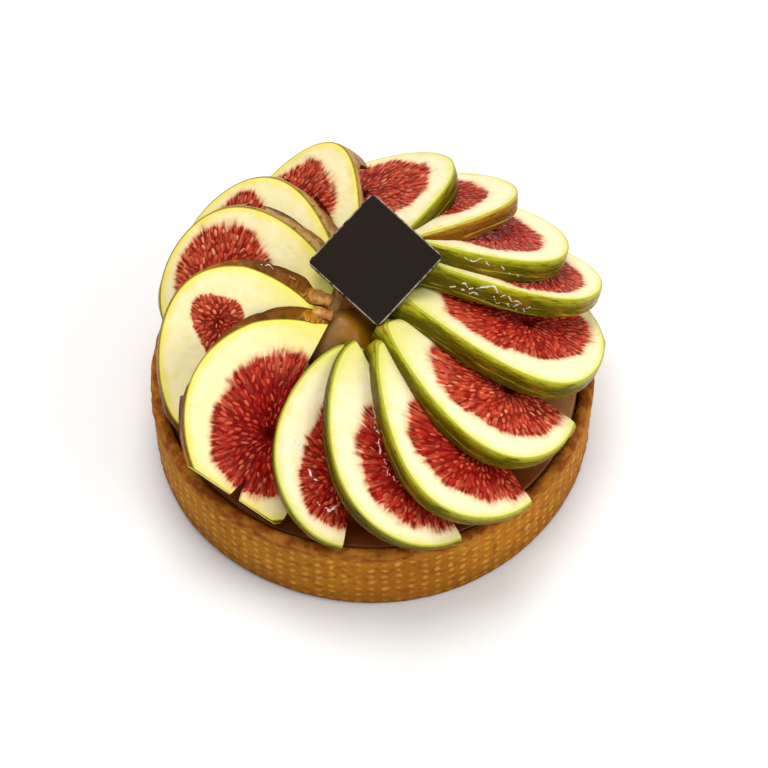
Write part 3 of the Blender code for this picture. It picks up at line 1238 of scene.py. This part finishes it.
def trimmed(fig: Fig, cutters: list) -> bmesh.types.BMesh:
    """Cut a slice in fine steps, and trim it by what lies over and under it.

    Args:
        fig: The slice.
        cutters: What it is trimmed by.

    Returns:
        The shape, in the slice's own axes.
    """
    shape = fig.solid(0.0, FINE_RINGS, FINE_STEPS)
    shape.transform(fig.lie())
    bmesh.ops.triangulate(shape, faces=[face for face in shape.faces if len(face.verts) > 4])
    thing = as_object("slice", shape)
    for cutter in cutters:
        cut = thing.modifiers.new("Trim", "BOOLEAN")
        cut.operation = "DIFFERENCE"
        cut.solver = "MANIFOLD"
        cut.object = cutter
    bpy.context.view_layer.update()
    evaluated = thing.evaluated_get(bpy.context.evaluated_depsgraph_get())
    result = bmesh.new()
    result.from_mesh(evaluated.to_mesh())
    evaluated.to_mesh_clear()
    bpy.data.objects.remove(thing)
    bmesh.ops.remove_doubles(result, verts=result.verts, dist=2 * MERGE)
    keep_largest(result)
    result.transform(fig.lie().inverted())
    return result


def keep_largest(shape: bmesh.types.BMesh) -> None:
    """Delete the loose scraps that a cut leaves.

    Args:
        shape: The shape.
    """
    unseen = dict.fromkeys(shape.verts)
    pieces = []
    while unseen:
        piece = []
        stack = [unseen.popitem()[0]]
        while stack:
            corner = stack.pop()
            piece.append(corner)
            for edge in corner.link_edges:
                other = edge.other_vert(corner)
                if other in unseen:
                    del unseen[other]
                    stack.append(other)
        pieces.append(piece)
    pieces.sort(key=len)
    scraps = [corner for piece in pieces[:-1] for corner in piece]
    bmesh.ops.delete(shape, geom=scraps, context="VERTS")


@dataclass
class FigSlice:
    """The fine model of one slice, with the seeds in its pulp."""

    number: int
    fig: Fig
    looks: dict
    seeds: Look
    grid: float = 1.1
    face_lumps: tuple = ((130.0, 0.22), (60.0, 0.2))
    pulp_grain: tuple = ((700.0, 0.16),)
    pulp_hollow: float = 0.28
    pulp_middle: float = 0.58
    eye_depth: float = 1.6
    eye_reach: float = 0.16
    edge_drop: float = 0.30
    edge_width: float = 1.1
    swollen_from: float = 1.0
    damped_from: float = 2.0
    swell_depths: tuple = (0.35, 0.8, 1.4, 2.2, 3.2)
    swell_round: float = 1.4
    swell_smoothing: int = 30
    inset_reach: float = 9.0
    seed_tries: int = 2600
    seed_along: float = 1.60
    seed_across: float = 0.92
    seed_long: tuple = (0.55, 1.0)
    seed_wide: tuple = (0.30, 0.46)

    def is_face(self, face: bmesh.types.BMFace) -> bool:
        """Whether a face of the mesh belongs to the cut face that looks up."""
        return all(abs(corner.co.z) < FLAT * MM for corner in face.verts)

    def grid_face(self, shape: bmesh.types.BMesh) -> None:
        """Cut the face into a grid, so that it can be shaped.

        Args:
            shape: The slice.
        """
        reach = int(self.fig.half_width / self.grid)
        lines = []
        for step in range(int(self.fig.length / self.grid) + 2):
            lines.append((Vector(((step - 0.5) * self.grid * MM, 0, 0)), Vector((1, 0, 0))))
        for step in range(-reach - 1, reach + 2):
            lines.append((Vector((0, (step + 0.37) * self.grid * MM, 0)), Vector((0, 1, 0))))
        for place, across in lines:
            faces = [face for face in shape.faces if self.is_face(face)]
            bmesh.ops.bisect_plane(
                shape, geom=with_parts(faces), dist=2 * FINE, plane_co=place, plane_no=across
            )

    def ring_skin(self, shape: bmesh.types.BMesh) -> None:
        """Cut rings into the skin below the face, so that it can swell.

        Args:
            shape: The slice.
        """
        for depth in self.swell_depths:
            skin = [face for face in shape.faces if face.material_index == 1]
            bmesh.ops.bisect_plane(
                shape, geom=with_parts(skin), dist=MERGE, plane_co=(0, 0, -depth * MM),
                plane_no=(0, 0, 1)
            )

    def shape_face(self, corners: list, places: np.ndarray, edge: np.ndarray, pulp: np.ndarray) -> None:
        """Round the face off to its skin, hollow its pulp and make it gently uneven.

        Args:
            corners: All points of the slice's mesh.
            places: Where they are, in millimetres.
            edge: How far they are from the outline of the face.
            pulp: Where they lie in the pulp.
        """
        reach = np.hypot(pulp[:, 0], pulp[:, 1])
        shift = Vector((self.number * 7.0, self.number * 3.0, 0.0))
        for corner, place, gap, far in zip(corners, places, edge, reach):
            if place[2] < -FLAT:
                corner.co.z -= self.edge_drop * max(1.0 + place[2], 0.0) * MM * (gap < 2.0)
                continue
            soft = unevenness(corner.co, self.face_lumps, shift)
            inside = min(max(gap / 2.0, 0.0), 1.0)
            hollow = self.pulp_hollow * min(max(1.1 - far, 0.0) / 0.2, 1.0)
            grains = unevenness(corner.co, self.pulp_grain) * min(max(1.0 - far, 0.0) / 0.1, 1.0)
            pit = self.eye_depth * self.fig.eye * max(0.0, 1.0 - far / self.eye_reach) ** 1.5
            round_off = self.edge_drop * max(0.0, 1.0 - gap / self.edge_width) ** 2
            corner.co.z += (soft * inside + grains - hollow - pit - round_off) * MM

    def shape_skin(
        self, corners: list, places: np.ndarray, edge: np.ndarray, outward: np.ndarray
    ) -> np.ndarray:
        """Let the skin of the raised side stand out, and draw the face's edge in at the stem.

        Args:
            corners: All points of the slice's mesh.
            places: Where they are, in millimetres.
            edge: How far they are from the outline of the face.
            outward: The direction out through the nearest skin.

        Returns:
            How far each point of the skin now stands out, in millimetres.
        """
        fig = self.fig
        most, reach = fig.swell
        along = np.clip(places[:, 0] / reach, 0.0, 1.0)
        fading = 1.0 - along ** 2 * (3.0 - 2.0 * along)
        raised = np.clip(-places[:, 1] / fig.raised_width, 0.0, 1.0)
        deep = np.clip(-places[:, 2] / self.swell_round, 0.0, 1.0)
        near = 1.0 - np.clip((edge - 1.0) / 3.0, 0.0, 1.0)
        out = most * fading * raised * near * np.sqrt(1.0 - (1.0 - deep) ** 2)
        if most > self.damped_from:
            out *= 0.5 + 0.5 * np.clip(places[:, 0] / 5.0, 0.0, 1.0)
        face = np.abs(places[:, 2]) < FLAT
        at_stem = np.clip(1.0 - places[:, 0] / self.inset_reach, 0.0, 1.0)
        drawn = fig.inset * at_stem * raised * np.clip(1.0 - edge / 5.0, 0.0, 1.0)
        move = np.where(face, -drawn, out)[:, None] * outward * MM
        for corner, (east, north) in zip(corners, move):
            corner.co.x += east
            corner.co.y += north
        return out

    def smooth_skin(
        self, shape: bmesh.types.BMesh, corners: list, places: np.ndarray, out: np.ndarray
    ) -> None:
        """Smooth the skin that stands out.

        Args:
            shape: The slice.
            corners: All points of its mesh.
            places: Where they were, in millimetres.
            out: How far they stand out.
        """
        chosen = (out > 0.2) & (places[:, 2] < -0.25)
        swollen = [corner for corner, smoothed in zip(corners, chosen) if smoothed]
        for _ in range(self.swell_smoothing):
            bmesh.ops.smooth_vert(
                shape, verts=swollen, factor=0.5, use_axis_x=True, use_axis_y=True, use_axis_z=True
            )

    def pulp_place(self, places: np.ndarray) -> np.ndarray:
        """Find where points lie in the pulp, whose outline is 1 from its middle.

        Args:
            places: The points, in millimetres in the slice's own axes.

        Returns:
            How far across and how far along the pulp each lies, and 0.
        """
        start, end, half_width = self.fig.pulp
        middle = start + self.pulp_middle * (end - start)
        turn = math.radians(self.fig.pulp_turn)
        offsets = places[:, :2] - (middle, self.fig.pulp_aside)
        along = offsets @ (math.cos(turn), math.sin(turn))
        across = offsets @ (-math.sin(turn), math.cos(turn)) / half_width
        along /= np.where(along < 0.0, middle - start, end - middle)
        angle = np.arctan2(across, along)
        waves = 0.6 * np.sin(2 * angle + 1.3 * self.number) + 0.4 * np.sin(3 * angle + 2.1 * self.number)
        wider = 1.0 + self.fig.pulp_lobes * waves
        return np.stack([across / wider, along / wider, 0 * along], 1)

    def build(self, cutters: list) -> bpy.types.Object:
        """Make the slice and its seeds.

        Args:
            cutters: What the slice is trimmed by.

        Returns:
            The slice, without its seeds.
        """
        fig = self.fig
        swollen = fig.swell[0] > self.swollen_from
        shape = trimmed(fig, cutters)
        self.grid_face(shape)
        if swollen:
            self.ring_skin(shape)
        bmesh.ops.triangulate(shape, faces=[face for face in shape.faces if len(face.verts) > 4])
        corners = list(shape.verts)
        places = np.array([tuple(corner.co / MM) for corner in corners])
        edge, outward = fig.nearest_skin(places)
        pulp = self.pulp_place(places)
        self.shape_face(corners, places, edge, pulp)
        out = self.shape_skin(corners, places, edge, outward)
        if swollen:
            self.smooth_skin(shape, corners, places, out)
        seeds = self.seed_places(BVHTree.FromBMesh(shape))
        shape.transform(fig.lie())
        name = f"fig_slice_{self.number:02d}"
        looks = [self.looks[fig.flesh], self.looks[fig.rind]]
        thing = finished(name + "_cut", shape, looks, name)
        thing.data.set_sharp_from_angle(angle=math.radians(55))
        put_attribute(thing, "cut_place", "FLOAT_VECTOR", places)
        put_attribute(thing, "pulp_place", "FLOAT_VECTOR", pulp)
        put_attribute(thing, "edge_distance", "FLOAT", edge)
        put_attribute(thing, "pinkness", "FLOAT", np.full(len(places), fig.pink))
        put_attribute(thing, "eye", "FLOAT", np.full(len(places), fig.eye))
        self.build_seeds(seeds)
        return thing

    def seed_places(self, tree: BVHTree) -> list:
        """Spread seeds evenly over the pulp that is left, each along its ray from the middle.

        Args:
            tree: The shaped slice.

        Returns:
            The point, angle and size of each seed.
        """
        fig = self.fig
        draw = random.Random(100 + self.number)
        start, end, half_width = fig.pulp
        middle = start + self.pulp_middle * (end - start)
        turn = Matrix.Rotation(math.radians(fig.pulp_turn), 3, "Z")
        chosen = []
        taken = np.zeros((0, 2))
        for _ in range(self.seed_tries):
            angle = draw.uniform(0.0, math.tau)
            share = math.sqrt(draw.uniform(0.015, 1.3))
            back = (end - middle) if math.cos(angle) > 0 else (middle - start)
            forward = back * share * math.cos(angle)
            offset = turn @ Vector((forward, half_width * share * math.sin(angle), 0.0))
            place = offset + Vector((middle, fig.pulp_aside, 5.0))
            across, along, _ = self.pulp_place(np.array([place]))[0]
            if not 0.015 < across ** 2 + along ** 2 < fig.seeded:
                continue
            size = 0.6 + 0.4 * min(share / 0.5, 1.0)
            ray = np.array(offset.xy.normalized())
            offsets = taken - np.array(place.xy)
            ahead = offsets @ ray / (self.seed_along * size)
            aside = offsets @ (-ray[1], ray[0]) / (self.seed_across * size)
            if len(taken) and (ahead ** 2 + aside ** 2).min() < 1.0:
                continue
            hit = tree.ray_cast(place * MM, Vector((0, 0, -1)))
            if hit[0] is None or hit[1].z < 0.6 or abs(hit[0].z) > 2.2 * MM:
                continue
            taken = np.vstack([taken, place.xy])
            chosen.append((hit[0], math.atan2(ray[1], ray[0]) + draw.gauss(0.0, 0.25), size))
        return chosen

    def build_seeds(self, places: list) -> None:
        """Make the seeds as one piece, each with its own tone.

        Args:
            places: The point, angle and size of each seed.
        """
        balls = Balls(7, 5, Matrix.Rotation(math.radians(90.0), 4, "Y"))
        draw = random.Random(500 + self.number)
        tones = []
        for place, angle, size in places:
            long = size * draw.uniform(*self.seed_long)
            wide = size * draw.uniform(*self.seed_wide)
            grow = Matrix.Diagonal((long * MM, wide * MM, 0.5 * wide * MM, 1.0))
            balls.add(Matrix.Translation(place) @ Matrix.Rotation(angle, 4, "Z") @ grow)
            tone = draw.uniform(-0.15, 0.75) + 0.4 * self.fig.pink + 0.3 * (size - 0.9)
            tones += [tone] * balls.points
        seeds = balls.done()
        seeds.transform(self.fig.lie())
        thing = finished(f"fig_seeds_{self.number:02d}", seeds, [self.seeds], None)
        put_attribute(thing, "tone", "FLOAT", np.array(tones))


@dataclass
class Plaque:
    """The bare chocolate plaque that leans on the stems."""

    side: float = 21.3
    thickness: float = 1.8
    corner: float = 1.4
    edge: float = 0.25
    centre: tuple = (0.8, 11.2, 46.0)
    lean: float = 27.0
    spin: float = 47.3
    side_top: float = 0.55
    rim_inset: float = 0.12
    pale_edge_from: float = 0.6
    pale_edge_width: float = 0.30

    def shape(self, grow: float, steps: int) -> bmesh.types.BMesh:
        """Make the plaque's shape, with rounded corners and broken edges.

        Args:
            grow: How much larger than the plaque it is, on every side.
            steps: How many steps a broken edge has.

        Returns:
            The shape, centred on the origin.
        """
        shape = bmesh.new()
        bmesh.ops.create_cube(shape, size=1.0)
        side = (self.side + 2 * grow) * MM
        bmesh.ops.scale(shape, verts=shape.verts, vec=(side, side, (self.thickness + 2 * grow) * MM))
        rises = [(edge, *(corner.co.z for corner in edge.verts)) for edge in shape.edges]
        upright = [edge for edge, first, second in rises if abs(first - second) > self.edge * MM]
        bmesh.ops.bevel(
            shape, geom=upright, offset=(self.corner + grow) * MM, affect="EDGES", segments=2 * steps,
            profile=0.5, material=-1
        )
        flat = [edge for edge in shape.edges if edge.calc_face_angle() > math.radians(60)]
        bmesh.ops.bevel(
            shape, geom=flat, offset=self.edge * MM, affect="EDGES", segments=steps, profile=0.5,
            material=-1
        )
        return shape

    def lie(self) -> Matrix:
        """Find where the plaque lies.

        Returns:
            The matrix from its own axes to the tart's.
        """
        spin = Matrix.Rotation(math.radians(self.spin), 4, "Z")
        lean = Matrix.Rotation(math.radians(self.lean), 4, "X")
        return Matrix.Translation(Vector(self.centre) * MM) @ lean @ spin

    def cutter(self, gap: float) -> bpy.types.Object:
        """Make the plaque grown by a gap.

        Args:
            gap: The gap.

        Returns:
            The shape, which the slices are cut with.
        """
        shape = self.shape(gap, 2)
        shape.transform(self.lie())
        return as_object("plaque_cutter", shape)

    def build(self) -> None:
        """The plaque itself, with a paler line round its top edge."""
        shape = self.shape(0.0, 4)
        everything = shape.verts[:] + shape.edges[:] + shape.faces[:]
        bmesh.ops.bisect_plane(
            shape, geom=everything, plane_co=(0, 0, self.side_top * MM), plane_no=(0, 0, 1)
        )
        broad = [face for face in shape.faces if abs(face.normal.z) > 0.999]
        bmesh.ops.inset_individual(shape, faces=broad, thickness=self.rim_inset * MM, depth=0.0)
        half = 0.5 * self.side * MM
        edges = []
        for corner in shape.verts:
            inside = max(abs(corner.co.x), abs(corner.co.y)) < half - self.pale_edge_width * MM
            edges.append(corner.co.z > self.pale_edge_from * MM and not inside)
        shape.transform(self.lie())
        thing = finished("chocolate_plaque", shape, [ChocolateFinish().look()], "plaque")
        thing.data.set_sharp_from_angle(angle=math.radians(35))
        put_attribute(thing, "pale_edge", "FLOAT", np.array(edges, dtype=float))


@dataclass
class Stem:
    """The stub of a stem, thicker near its start and rough all over.

    Form gives its half thickness at shares of its length.
    """

    number: int
    start: tuple
    end: tuple
    thickness: float
    flatness: float = 0.7
    form: tuple = (
        (0.0, 0.0), (0.0, 0.7), (0.12, 0.95), (0.35, 1.0), (0.6, 0.85), (0.8, 0.8), (0.94, 0.85),
        (1.0, 0.7)
    )
    bark: tuple = ((900.0, 0.15), (350.0, 0.20))

    def build(self, look: Look) -> None:
        """Make the stub, lying from its start to its end.

        Args:
            look: Its material.
        """
        run = (Vector(self.end) - Vector(self.start)) * MM
        radius = 0.5 * self.thickness * MM
        profile = [(along * run.length, share * radius, 0.0) for along, share in self.form]
        shape = spun(profile + [(run.length, 0.0, 0.0)], 20, (1, 0, 0))
        long = [edge for edge in shape.edges if edge.calc_length() > 0.5 * MM]
        bmesh.ops.subdivide_edges(shape, edges=long, cuts=2, use_grid_fill=True)
        for corner in shape.verts:
            corner.co += corner.co.normalized() * unevenness(corner.co, self.bark) * MM
            corner.co.z *= self.flatness
        turn = run.to_track_quat("X", "Z").to_matrix().to_4x4()
        shape.transform(Matrix.Translation(Vector(self.start) * MM) @ turn)
        finished(f"fig_stem_{self.number:02d}", shape, [look], None)


@dataclass
class GlazeHighlightRun:
    """A broken, wavy line of set clear glaze on a slice, its near-white beads painted highlights.

    Path is where it runs on the tart, wave how far it swings aside, and gaps how much of it
    is missing: the higher, the more. Spacing is from bead to bead, and the beads are
    dropped onto the slice against the direction back, from reach above it.
    """

    slice_number: int
    path: tuple
    radius: float = 0.22
    wave: float = 0.5
    gaps: float = -0.15
    spacing: float = 0.30
    back: tuple = (0.0, -0.56, 0.83)
    reach: float = 8.0

    def places(self) -> list:
        """Spread points along the run.

        Returns:
            The points, each with the direction that the run takes there.
        """
        found = []
        for start, end in zip(self.path, self.path[1:]):
            run = Vector(end) - Vector(start)
            aside = run.cross(Vector(self.back)).normalized()
            steps = max(int(run.length / self.spacing), 1)
            for step in range(steps):
                place = Vector(start) + run * step / steps
                swing = noise.noise(place * 0.55) * self.wave
                found.append((place + aside * swing, run.normalized()))
        return found

    def add_to(self, balls: Balls, tree: BVHTree) -> None:
        """Add the run bead by bead, each lying on the slice.

        Args:
            balls: The beads so far.
            tree: The slice.
        """
        back = Vector(self.back)
        for place, run in self.places():
            size = self.radius * (0.75 + 0.8 * noise.noise(place * 1.3))
            if noise.noise(place * 0.8) < self.gaps:
                continue
            hit, normal, _, _ = tree.ray_cast((place + back * self.reach) * MM, -back)
            if hit is None:
                continue
            side = normal.cross(run).normalized()
            turn = Matrix((side.cross(normal), side, normal)).transposed().to_4x4()
            grow = Matrix.Diagonal((1.4 * size * MM, size * MM, 0.55 * size * MM, 1.0))
            balls.add(Matrix.Translation(hit) @ turn @ grow)


# Tables of the slices, the stems and the glaze's painted highlights

G, O, Y, B, T = Rind.GREEN, Rind.OLIVE, Rind.GOLDEN, Rind.BROWN, Rind.TAN
W, P = Flesh.WARM, Flesh.PALE

# From the front left round to the right and the back, each slice lying over the one before
# it: stem, heading, pitch, tilt, length, half width, belly, fullness, thickness, distance
# off the fig's axis, pulp, skin and flesh
FIGS = (
    Fig(
        (-8.7, -0.3, 38.0), 242, 13, 26, 48.5, 21.3, 1.02, 0.52, 5.2, 5.0, (9.5, 42.5, 14.3), B, W,
        wedge=0, cut=0, cut_offset=11.5, notch=4.4, blunt=4.0, skew=3, swell=(3.2, 36.0),
        undercut=0.0, inset=1.5, nick=(-1.0, -0.5, 12.5), pink=0.0
    ),
    Fig(
        (-3.8, -5.3, 37.5), 267, 17, 28, 45.7, 17.4, 1.25, 0.45, 5.2, 2.0, (12, 42, 11.5), O, P,
        cut=8, pink=0.1
    ),
    Fig(
        (-3.4, -5.0, 38.5), 299, 18, 24, 49.8, 22.0, 1.45, 0.40, 5.2, 3.0, (12, 47, 15.5), O, P,
        cut=0, pink=0.1
    ),
    Fig(
        (1.8, -6.0, 39.5), 316, 18, 22, 48.3, 22.0, 1.60, 0.48, 5.4, 3.0, (13, 46, 15.5), G, P,
        cut=14, pink=0.2
    ),
    Fig(
        (3.3, -1.2, 40.0), 338, 18, 20, 47.2, 22.2, 1.65, 0.45, 5.6, 4.0, (12, 44.5, 15.5), G, P,
        cut=14, pink=0.9
    ),
    Fig(
        (7.0, 5.5, 41.0), 359, 18, 19, 47.5, 21.8, 1.68, 0.52, 5.8, 4.5, (10, 44, 13.8), G, P,
        pink=0.5
    ),
    Fig(
        (9.5, 14.8, 43.0), 11, 21, 27, 45.5, 17.5, 1.62, 0.50, 5.6, 4.5, (13, 40, 14.5), G, P,
        pink=0.5
    ),
    Fig(
        (2.8, 20.5, 45.0), 19, 21, 27, 44.7, 20.8, 1.58, 0.54, 5.6, 4.0, (13, 38, 14.5), G, P,
        pink=0.3
    ),
    Fig(
        (-1.9, 15.4, 45.0), 56, 20, 26, 42.8, 22.0, 1.72, 0.47, 4.6, 4.0, (15, 39, 14.0), Y, P,
        pink=0.3
    ),
    Fig(
        (-3.8, 9.0, 44.0), 88, 18, 24, 44.9, 23.4, 1.63, 0.52, 5.4, 4.5, (18, 42, 18.0), O, P,
        pink=0.9
    ),
    Fig(
        (-3.5, 7.4, 43.0), 127, 18, 32, 43.9, 22.8, 1.73, 0.50, 5.6, 5.0, (17, 41, 17.8), T, W,
        swell=(1.2, 30.0), undercut=0.0, pink=0.8
    ),
    Fig(
        (-7.6, 10.1, 42.0), 150, 18, 26, 42.9, 18.5, 1.32, 0.54, 5.6, 7.0, (19, 38, 13.8), T, W,
        swell=(1.9, 30.0), undercut=0.0, pink=0.8
    ),
    Fig(
        (-8.2, 7.7, 41.0), 170, 18, 28, 42.8, 19.6, 1.27, 0.50, 5.6, 8.0, (14, 39, 15.5), T, W,
        swell=(2.4, 28.0), undercut=0.0, pink=0.9
    ),
    Fig(
        (-10.1, 3.7, 38.0), 213, 15, 24, 41.5, 23.2, 0.95, 0.58, 5.2, 5.0, (11.5, 27.5, 5.4), B, W,
        wedge=2, swell=(4.4, 26.0), undercut=0.0, inset=2.0, pink=0.9, pulp_aside=-11.8,
        pulp_turn=228.0, pulp_lobes=0.22, eye=0.0
    ),
)
LAYERS_OVER = 3

STEMS = (
    Stem(1, (-13.0, 2.6, 38.7), (-8.6, 1.2, 38.9), 3.2, 0.5),
    Stem(14, (-13.9, 6.8, 39.2), (-8.7, 4.7, 39.6), 4.0, 0.5),
)

# runs of clear glaze, whose near-white beads are painted highlights
GLAZE_HIGHLIGHT_RUNS = (
    GlazeHighlightRun(2, ((-16.0, -27.3, 36.8), (-15.3, -30.4, 35.2), (-14.7, -32.2, 34.0)), 0.34, 1.2),
    GlazeHighlightRun(2, ((-13.6, -34.8, 32.6), (-12.7, -35.8, 31.8), (-11.0, -37.1, 30.6)), 0.36, 1.4),
    GlazeHighlightRun(2, ((-11.4, -41.1, 29.7), (-8.9, -42.3, 27.6), (-7.2, -40.5, 27.1)), 0.40, 1.0),
    GlazeHighlightRun(2, ((-18.7, -27.0, 37.8), (-18.9, -32.7, 36.4), (-17.8, -37.4, 34.8)), 0.26, 1.4, 0.0),
    GlazeHighlightRun(3, ((-1.9, -11.0, 37.3), (0.1, -18.2, 35.5), (1.0, -26.3, 34.5)), 0.16, 0.8, -0.35),
    GlazeHighlightRun(3, ((1.0, -26.3, 34.5), (2.7, -32.0, 33.0), (4.4, -37.6, 32.2)), 0.22, 1.4, -0.25),
    GlazeHighlightRun(
        7, ((17.0, 8.6, 41.3), (26.1, 6.2, 41.4), (31.8, 4.5, 40.0), (35.3, 4.0, 39.5)),
        0.19, 1.8, -0.05
    ),
    GlazeHighlightRun(7, ((19.0, 7.2, 40.3), (28.3, 4.9, 39.6), (33.0, 3.6, 39.0)), 0.16, 2.0, 0.0),
    GlazeHighlightRun(7, ((22.0, 6.0, 39.3), (28.3, 4.4, 38.7), (34.0, 3.0, 38.0)), 0.17, 2.0, 0.05),
    GlazeHighlightRun(
        8, ((19.9, 12.9, 44.5), (23.9, 12.0, 44.3), (29.0, 11.1, 43.3), (32.8, 10.6, 41.3)),
        0.16, 1.0, 0.05
    ),
    GlazeHighlightRun(14, ((-25.9, 13.3, 42.6), (-21.4, 11.9, 41.8), (-15.9, 8.9, 40.3)), 0.15, 1.2, 0.0),
)


# Putting the figs on


def build_slices(crust: Crust, plaque: Plaque) -> list:
    """Make all the slices, each trimmed by those over it, by the base and by the plaque.

    Args:
        crust: The case and filling.
        plaque: The plaque.

    Returns:
        The slices, without their seeds.
    """
    looks = {finish: finish.value.look() for finish in (*Rind, *Flesh)}
    seeds = SeedFinish().look()
    fixed = [crust.cutter(), plaque.cutter(crust.gap)]
    grown = []
    for fig in FIGS:
        shape = fig.solid(crust.gap, COARSE_RINGS, COARSE_STEPS)
        shape.transform(fig.lie())
        grown.append(as_object("grown", shape))
    slices = []
    for index, fig in enumerate(FIGS):
        knives = fig.knives()
        over = [grown[(index + step) % len(FIGS)] for step in range(1, LAYERS_OVER + 1)]
        slices.append(FigSlice(index + 1, fig, looks, seeds).build(knives + over + fixed))
        for knife in knives:
            bpy.data.objects.remove(knife)
    for thing in grown + fixed:
        bpy.data.objects.remove(thing)
    return slices


def build_glaze_highlights(slices: list) -> None:
    """Make all the runs of glaze, whose near-white beads are painted highlights, as one piece.

    Args:
        slices: The finished slices.
    """
    balls = Balls(8, 5, Matrix())
    for run in GLAZE_HIGHLIGHT_RUNS:
        thing = slices[run.slice_number - 1]
        run.add_to(balls, BVHTree.FromObject(thing, bpy.context.evaluated_depsgraph_get()))
    finished("glaze_beads_painted_highlight", balls.done(), [GlazeHighlightFinish().look()], None)


# Room, lights and camera


@dataclass
class SoftLight:
    """A square soft light that faces the tart, its sizes in metres and its power in watts."""

    name: str
    place: tuple
    size: float
    power: float
    colour: tuple = (1.0, 1.0, 0.99)
    towards: tuple = (0.0, 0.0, 0.03)

    def build(self) -> None:
        """Put the light in the scene."""
        light = bpy.data.lights.new(self.name, "AREA")
        light.shape = "SQUARE"
        light.size = self.size
        light.energy = self.power
        light.color = self.colour
        lamp = bpy.data.objects.new(self.name, light)
        bpy.context.scene.collection.objects.link(lamp)
        lamp.location = self.place
        ahead = Vector(self.towards) - Vector(self.place)
        lamp.rotation_euler = ahead.to_track_quat("-Z", "Y").to_euler()


@dataclass
class Studio:
    """The pale floor, the soft lights and the camera at the photograph's angle."""

    elevation: float = 56.0
    distance: float = 600.0
    aim: tuple = (2.7, 9.4, 0.0)
    focal_pixels: float = 2558.4
    image_width: int = 768
    sensor: float = 36.0
    lights: tuple = (
        SoftLight("key", (-0.05, 0.25, 0.85), 0.50, 4.9),
        SoftLight("fill", (0.60, -0.30, 0.50), 0.45, 2.7),
    )
    surround: float = 0.60
    floor_half: float = 3.0
    floor_tone: tuple = (0.90, 0.90, 0.90)

    def build_floor(self) -> None:
        """Make a wide pale floor."""
        shape = bmesh.new()
        bmesh.ops.create_grid(shape, x_segments=1, y_segments=1, size=self.floor_half)
        floor = as_object("floor", shape)
        look = Look("pale_floor")
        look.set(Base_Color=(*self.floor_tone, 1.0), Roughness=0.9)
        floor.data.materials.append(look.material)

    def build_world(self) -> None:
        """Make an even white surround."""
        world = bpy.data.worlds.new("surround")
        bpy.context.scene.world = world
        world.use_nodes = True
        background = world.node_tree.nodes["Background"]
        background.inputs["Color"].default_value = (1.0, 1.0, 1.0, 1.0)
        background.inputs["Strength"].default_value = self.surround

    def build_camera(self) -> None:
        """Make the camera, which looks along +Y and down."""
        angle = math.radians(self.elevation)
        camera = bpy.data.cameras.new("camera")
        camera.sensor_width = self.sensor
        camera.lens = self.sensor * self.focal_pixels / self.image_width
        camera.clip_start = 0.01
        camera.clip_end = 20.0
        stand = bpy.data.objects.new("camera", camera)
        bpy.context.scene.collection.objects.link(stand)
        back = Vector((0.0, -math.cos(angle), math.sin(angle)))
        stand.location = (Vector(self.aim) + back * self.distance) * MM
        stand.rotation_euler = (math.radians(90.0 - self.elevation), 0.0, 0.0)
        bpy.context.scene.camera = stand

    def build(self) -> None:
        """Make everything round the tart."""
        self.build_floor()
        for light in self.lights:
            light.build()
        self.build_world()
        self.build_camera()
        bpy.context.scene.view_settings.view_transform = "Standard"


def main() -> None:
    """Dress the frame, light it and log how many faces each piece has."""
    logging.basicConfig(level=logging.INFO, format="%(name)s: %(message)s")
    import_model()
    Studio().build()
    crust = Crust()
    plaque = Plaque()
    crust.build_case()
    crust.build_filling()
    slices = build_slices(crust, plaque)
    stem = StemFinish().look()
    for stub in STEMS:
        stub.build(stem)
    build_glaze_highlights(slices)
    plaque.build()


if __name__ == "__main__":
    main()
